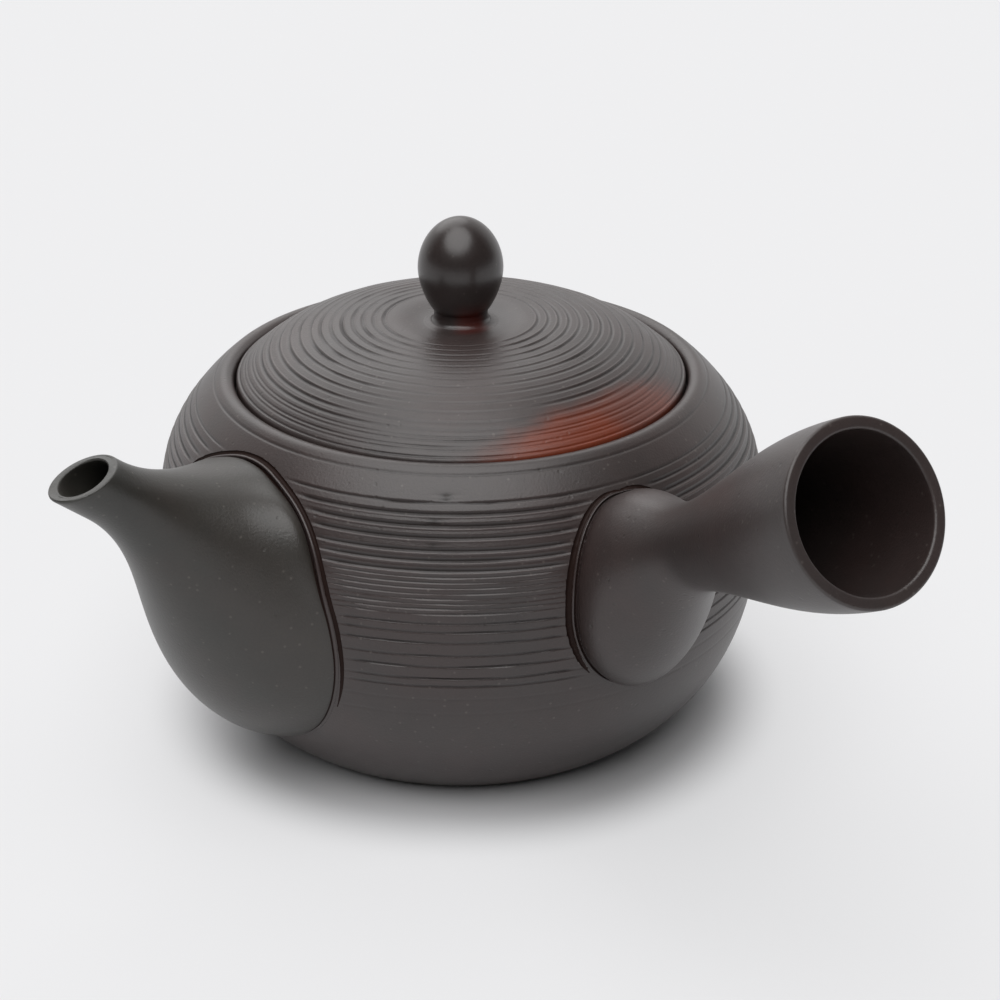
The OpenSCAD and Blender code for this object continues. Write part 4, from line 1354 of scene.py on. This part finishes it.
# %% Build the knob
KNOB_R, KNOB_TURNS = 7.75, 128
KNOB_Z, KNOB_TOP_Z = box_mm("lid_knob")[0][2] - LID_DIP, box_mm("lid_knob")[1][2]
KNOB_TOP_H, KNOB_TOP_N, KNOB_TOP_STEPS = 9.4, 1.97, 40
KNOB_LOW_H, KNOB_LOW_N, KNOB_LOW_STEPS, KNOB_CROWDING = 11.4, 1.72, 34, 1.6
KNOB_FOOT_R, NECK_R = 3, 4.9
FILLET, FILLET_WIDE, FILLET_SPLIT, FILLET_STEPS = 1.3, 1.7, 0.5, 8


def fillet_point(share):
    """Radius and height on the hollow curve from the neck, at 0, down to the lid, at 1."""
    bend = share * math.pi / 2
    return NECK_R + FILLET_WIDE * (1 - math.cos(bend)), KNOB_Z + FILLET * (1 - math.sin(bend))


def knob_rows():
    """Points of the knob's profile: its foot, its neck, and two superellipses that meet at its widest."""
    middle = KNOB_TOP_Z - KNOB_TOP_H
    rows = [(r, KNOB_Z, 0) for r in (0, KNOB_FOOT_R, fillet_point(FILLET_SPLIT)[0])]
    rows += [(*fillet_point(share), 0) for share in np.linspace(FILLET_SPLIT, 0, FILLET_STEPS)]
    neck_drop = KNOB_LOW_H * superellipse(NECK_R / KNOB_R, KNOB_LOW_N)
    for drop in neck_drop * (1 - np.linspace(0, 1, KNOB_LOW_STEPS) ** KNOB_CROWDING)[:-1]:
        rows.append((KNOB_R * superellipse(drop / KNOB_LOW_H, KNOB_LOW_N), middle - drop, 0))
    for a in np.linspace(0, math.pi / 2, KNOB_TOP_STEPS)[:-1]:
        width, height = math.cos(a) ** (2 / KNOB_TOP_N), math.sin(a) ** (2 / KNOB_TOP_N)
        rows.append((KNOB_R * width, middle + KNOB_TOP_H * height, 0))
    return rows + [(0, KNOB_TOP_Z, 0)]


knob = profile_piece("knob", knob_rows())
run_nodes(knob, wheel_tree("thrown knob"), {"Turns": KNOB_TURNS, "Material": knob_clay})
hand_over(knob, "lid_knob", "lid", knob_clay)

# %% Build the knob's ring of slip
FOOT_OUT, FOOT_SUNK = 0.5, 0.1

split_r, split_z = fillet_point(FILLET_SPLIT)
ring_shape = [(split_r + LUTE_GAP, KNOB_Z), (split_r + LUTE_GAP, split_z)]
ring_shape += [fillet_point(share) for share in np.linspace(FILLET_SPLIT, 1, FILLET_STEPS)[1:]]
ring_shape += [(ring_shape[-1][0] + FOOT_OUT, KNOB_Z - FOOT_SUNK)]
knob_seam = ring_piece("knob_slip", [level_ring(r, z, KNOB_TURNS) for r, z in ring_shape])
hand_over(knob_seam, "knob_seam", "lid", lid_clay)

# %% [markdown]
# ## The card
# The pot stands on a pale sweep of card, which fades into the backdrop without a line.
# A sweep could be bent up behind the pot, but a flat card that goes on far enough looks the same.
# In the photo the card is as pale as the backdrop, so away from the pot's foot it also glows a little.

# %% Lay the card
FLOOR_HALF, FLOOR_DROP_MM = 4.0, 0.05
FLOOR_TONE = (0.68, 0.68, 0.69, 1)
CARD_GLOW = (0.93, 0.93, 0.94, 1)
CARD_LIFT, LIFT_FROM_MM, LIFT_TO_MM = 0.55, 47, 63


def card_material():
    """Matt card that glows a little where it is seen, away from the pot's foot."""
    card = bpy.data.materials.new("card")
    card.use_nodes = True
    tree = card.node_tree
    surface = tree.nodes["Principled BSDF"]
    surface.inputs["Base Color"].default_value = FLOOR_TONE
    surface.inputs["Roughness"].default_value = 1.0
    surface.inputs["Specular IOR Level"].default_value = 0.0
    rays = put(tree, "ShaderNodeLightPath").outputs
    mirrored = calc(tree, "MAXIMUM", rays["Is Glossy Ray"], rays["Is Transmission Ray"])
    seen = calc(tree, "MAXIMUM", rays["Is Camera Ray"], mirrored)
    place = put(tree, "ShaderNodeTexCoord").outputs["Object"]
    away = put(tree, "ShaderNodeVectorMath", {0: place}, operation="LENGTH").outputs["Value"]
    # Painted light: the glow is kept out near the pot's foot and grows outwards, so it pales the pot's shadow
    # on the card everywhere except close to the foot.
    lift = smooth(tree, away, LIFT_FROM_MM * MM, LIFT_TO_MM * MM, 0.0, CARD_LIFT)
    glow = put(tree, "ShaderNodeEmission", {"Color": CARD_GLOW}).outputs[0]
    layers = {0: calc(tree, "MULTIPLY", seen, lift), 1: surface.outputs[0], 2: glow}
    mixed = put(tree, "ShaderNodeMixShader", layers).outputs[0]
    tree.links.new(mixed, tree.nodes["Material Output"].inputs["Surface"])
    return card


half_mm = FLOOR_HALF / MM
floor_corners = [(x * half_mm, y * half_mm, -FLOOR_DROP_MM) for x, y in ((-1, -1), (1, -1), (1, 1), (-1, 1))]
floor = new_piece("floor", floor_corners, [(0, 1, 2, 3)])
floor.data.materials.append(card_material())
print("card, m:", 2 * FLOOR_HALF)

# %% [markdown]
# ## Lamps and backdrop
# A large softbox hangs over the pot, a weaker one stands behind it, and a pale backdrop closes the room.
# So the shadow is wide and faint, and most of the light on the pot's front comes back up from the card.
# Area lamps would fall off across the card, so each softbox is a sun with a wide disc.
# The lamps are set so that a colour comes out about as it was mixed.

# %% Hang the lamps
VIEW_AHEAD = Vector((0.516, 0.856, 0))
VIEW_RIGHT = Vector((0.856, -0.516, 0))
UP = Vector((0, 0, 1))
NEAR_SIDE, NEAR_ENERGY, NEAR_WIDE = 0.931 * UP - 0.345 * VIEW_AHEAD - 0.12 * VIEW_RIGHT, 2.8, 70
FAR_SIDE, FAR_ENERGY, FAR_WIDE = 0.69 * UP + 0.66 * VIEW_AHEAD - 0.25 * VIEW_RIGHT, 0.75, 54


def add_sun(name, side, energy, wide):
    """A far lamp with a wide disc, which shines from one side."""
    data = bpy.data.lights.new(name, "SUN")
    data.energy = energy
    data.angle = math.radians(wide)
    lamp = bpy.data.objects.new(name, data)
    lamp.rotation_euler = side.to_track_quat("Z", "Y").to_euler()
    scene.collection.objects.link(lamp)


add_sun("near softbox", NEAR_SIDE, NEAR_ENERGY, NEAR_WIDE)
add_sun("far softbox", FAR_SIDE, FAR_ENERGY, FAR_WIDE)

# %% Close the room with a backdrop
ROOM_LIGHT, BACKDROP_LIGHT, BACKDROP_SEEN = 0.07, 0.45, 1.0
BACKDROP_EDGE = (0.05, 0.65)
BACKDROP = (0.863, 0.863, 0.863, 1)

world = bpy.data.worlds.new("world")
scene.world = world
world.use_nodes = True
tree = world.node_tree
rays = put(tree, "ShaderNodeLightPath").outputs
seen = calc(tree, "MAXIMUM", rays["Is Camera Ray"], rays["Is Transmission Ray"])
toward = put(tree, "ShaderNodeTexCoord").outputs["Generated"]
ends = {0: toward, 1: VIEW_AHEAD}
facing = put(tree, "ShaderNodeVectorMath", ends, operation="DOT_PRODUCT").outputs["Value"]
bright = smooth(tree, rays["Is Glossy Ray"], 0.0, 1.0, BACKDROP_LIGHT, BACKDROP_SEEN)
lit = smooth(tree, facing, *BACKDROP_EDGE, ROOM_LIGHT, bright)
back = tree.nodes["Background"]
back.inputs["Color"].default_value = BACKDROP
tree.links.new(calc(tree, "MAXIMUM", seen, lit), back.inputs["Strength"])
scene.view_settings.view_transform = "Standard"
print("nodes in the backdrop:", len(tree.nodes))

# %% [markdown]
# ## Remove the guides
# The seam paths were only guides, so they are removed.

# %% Remove the seam paths
bpy.data.objects.remove(seam_paths)
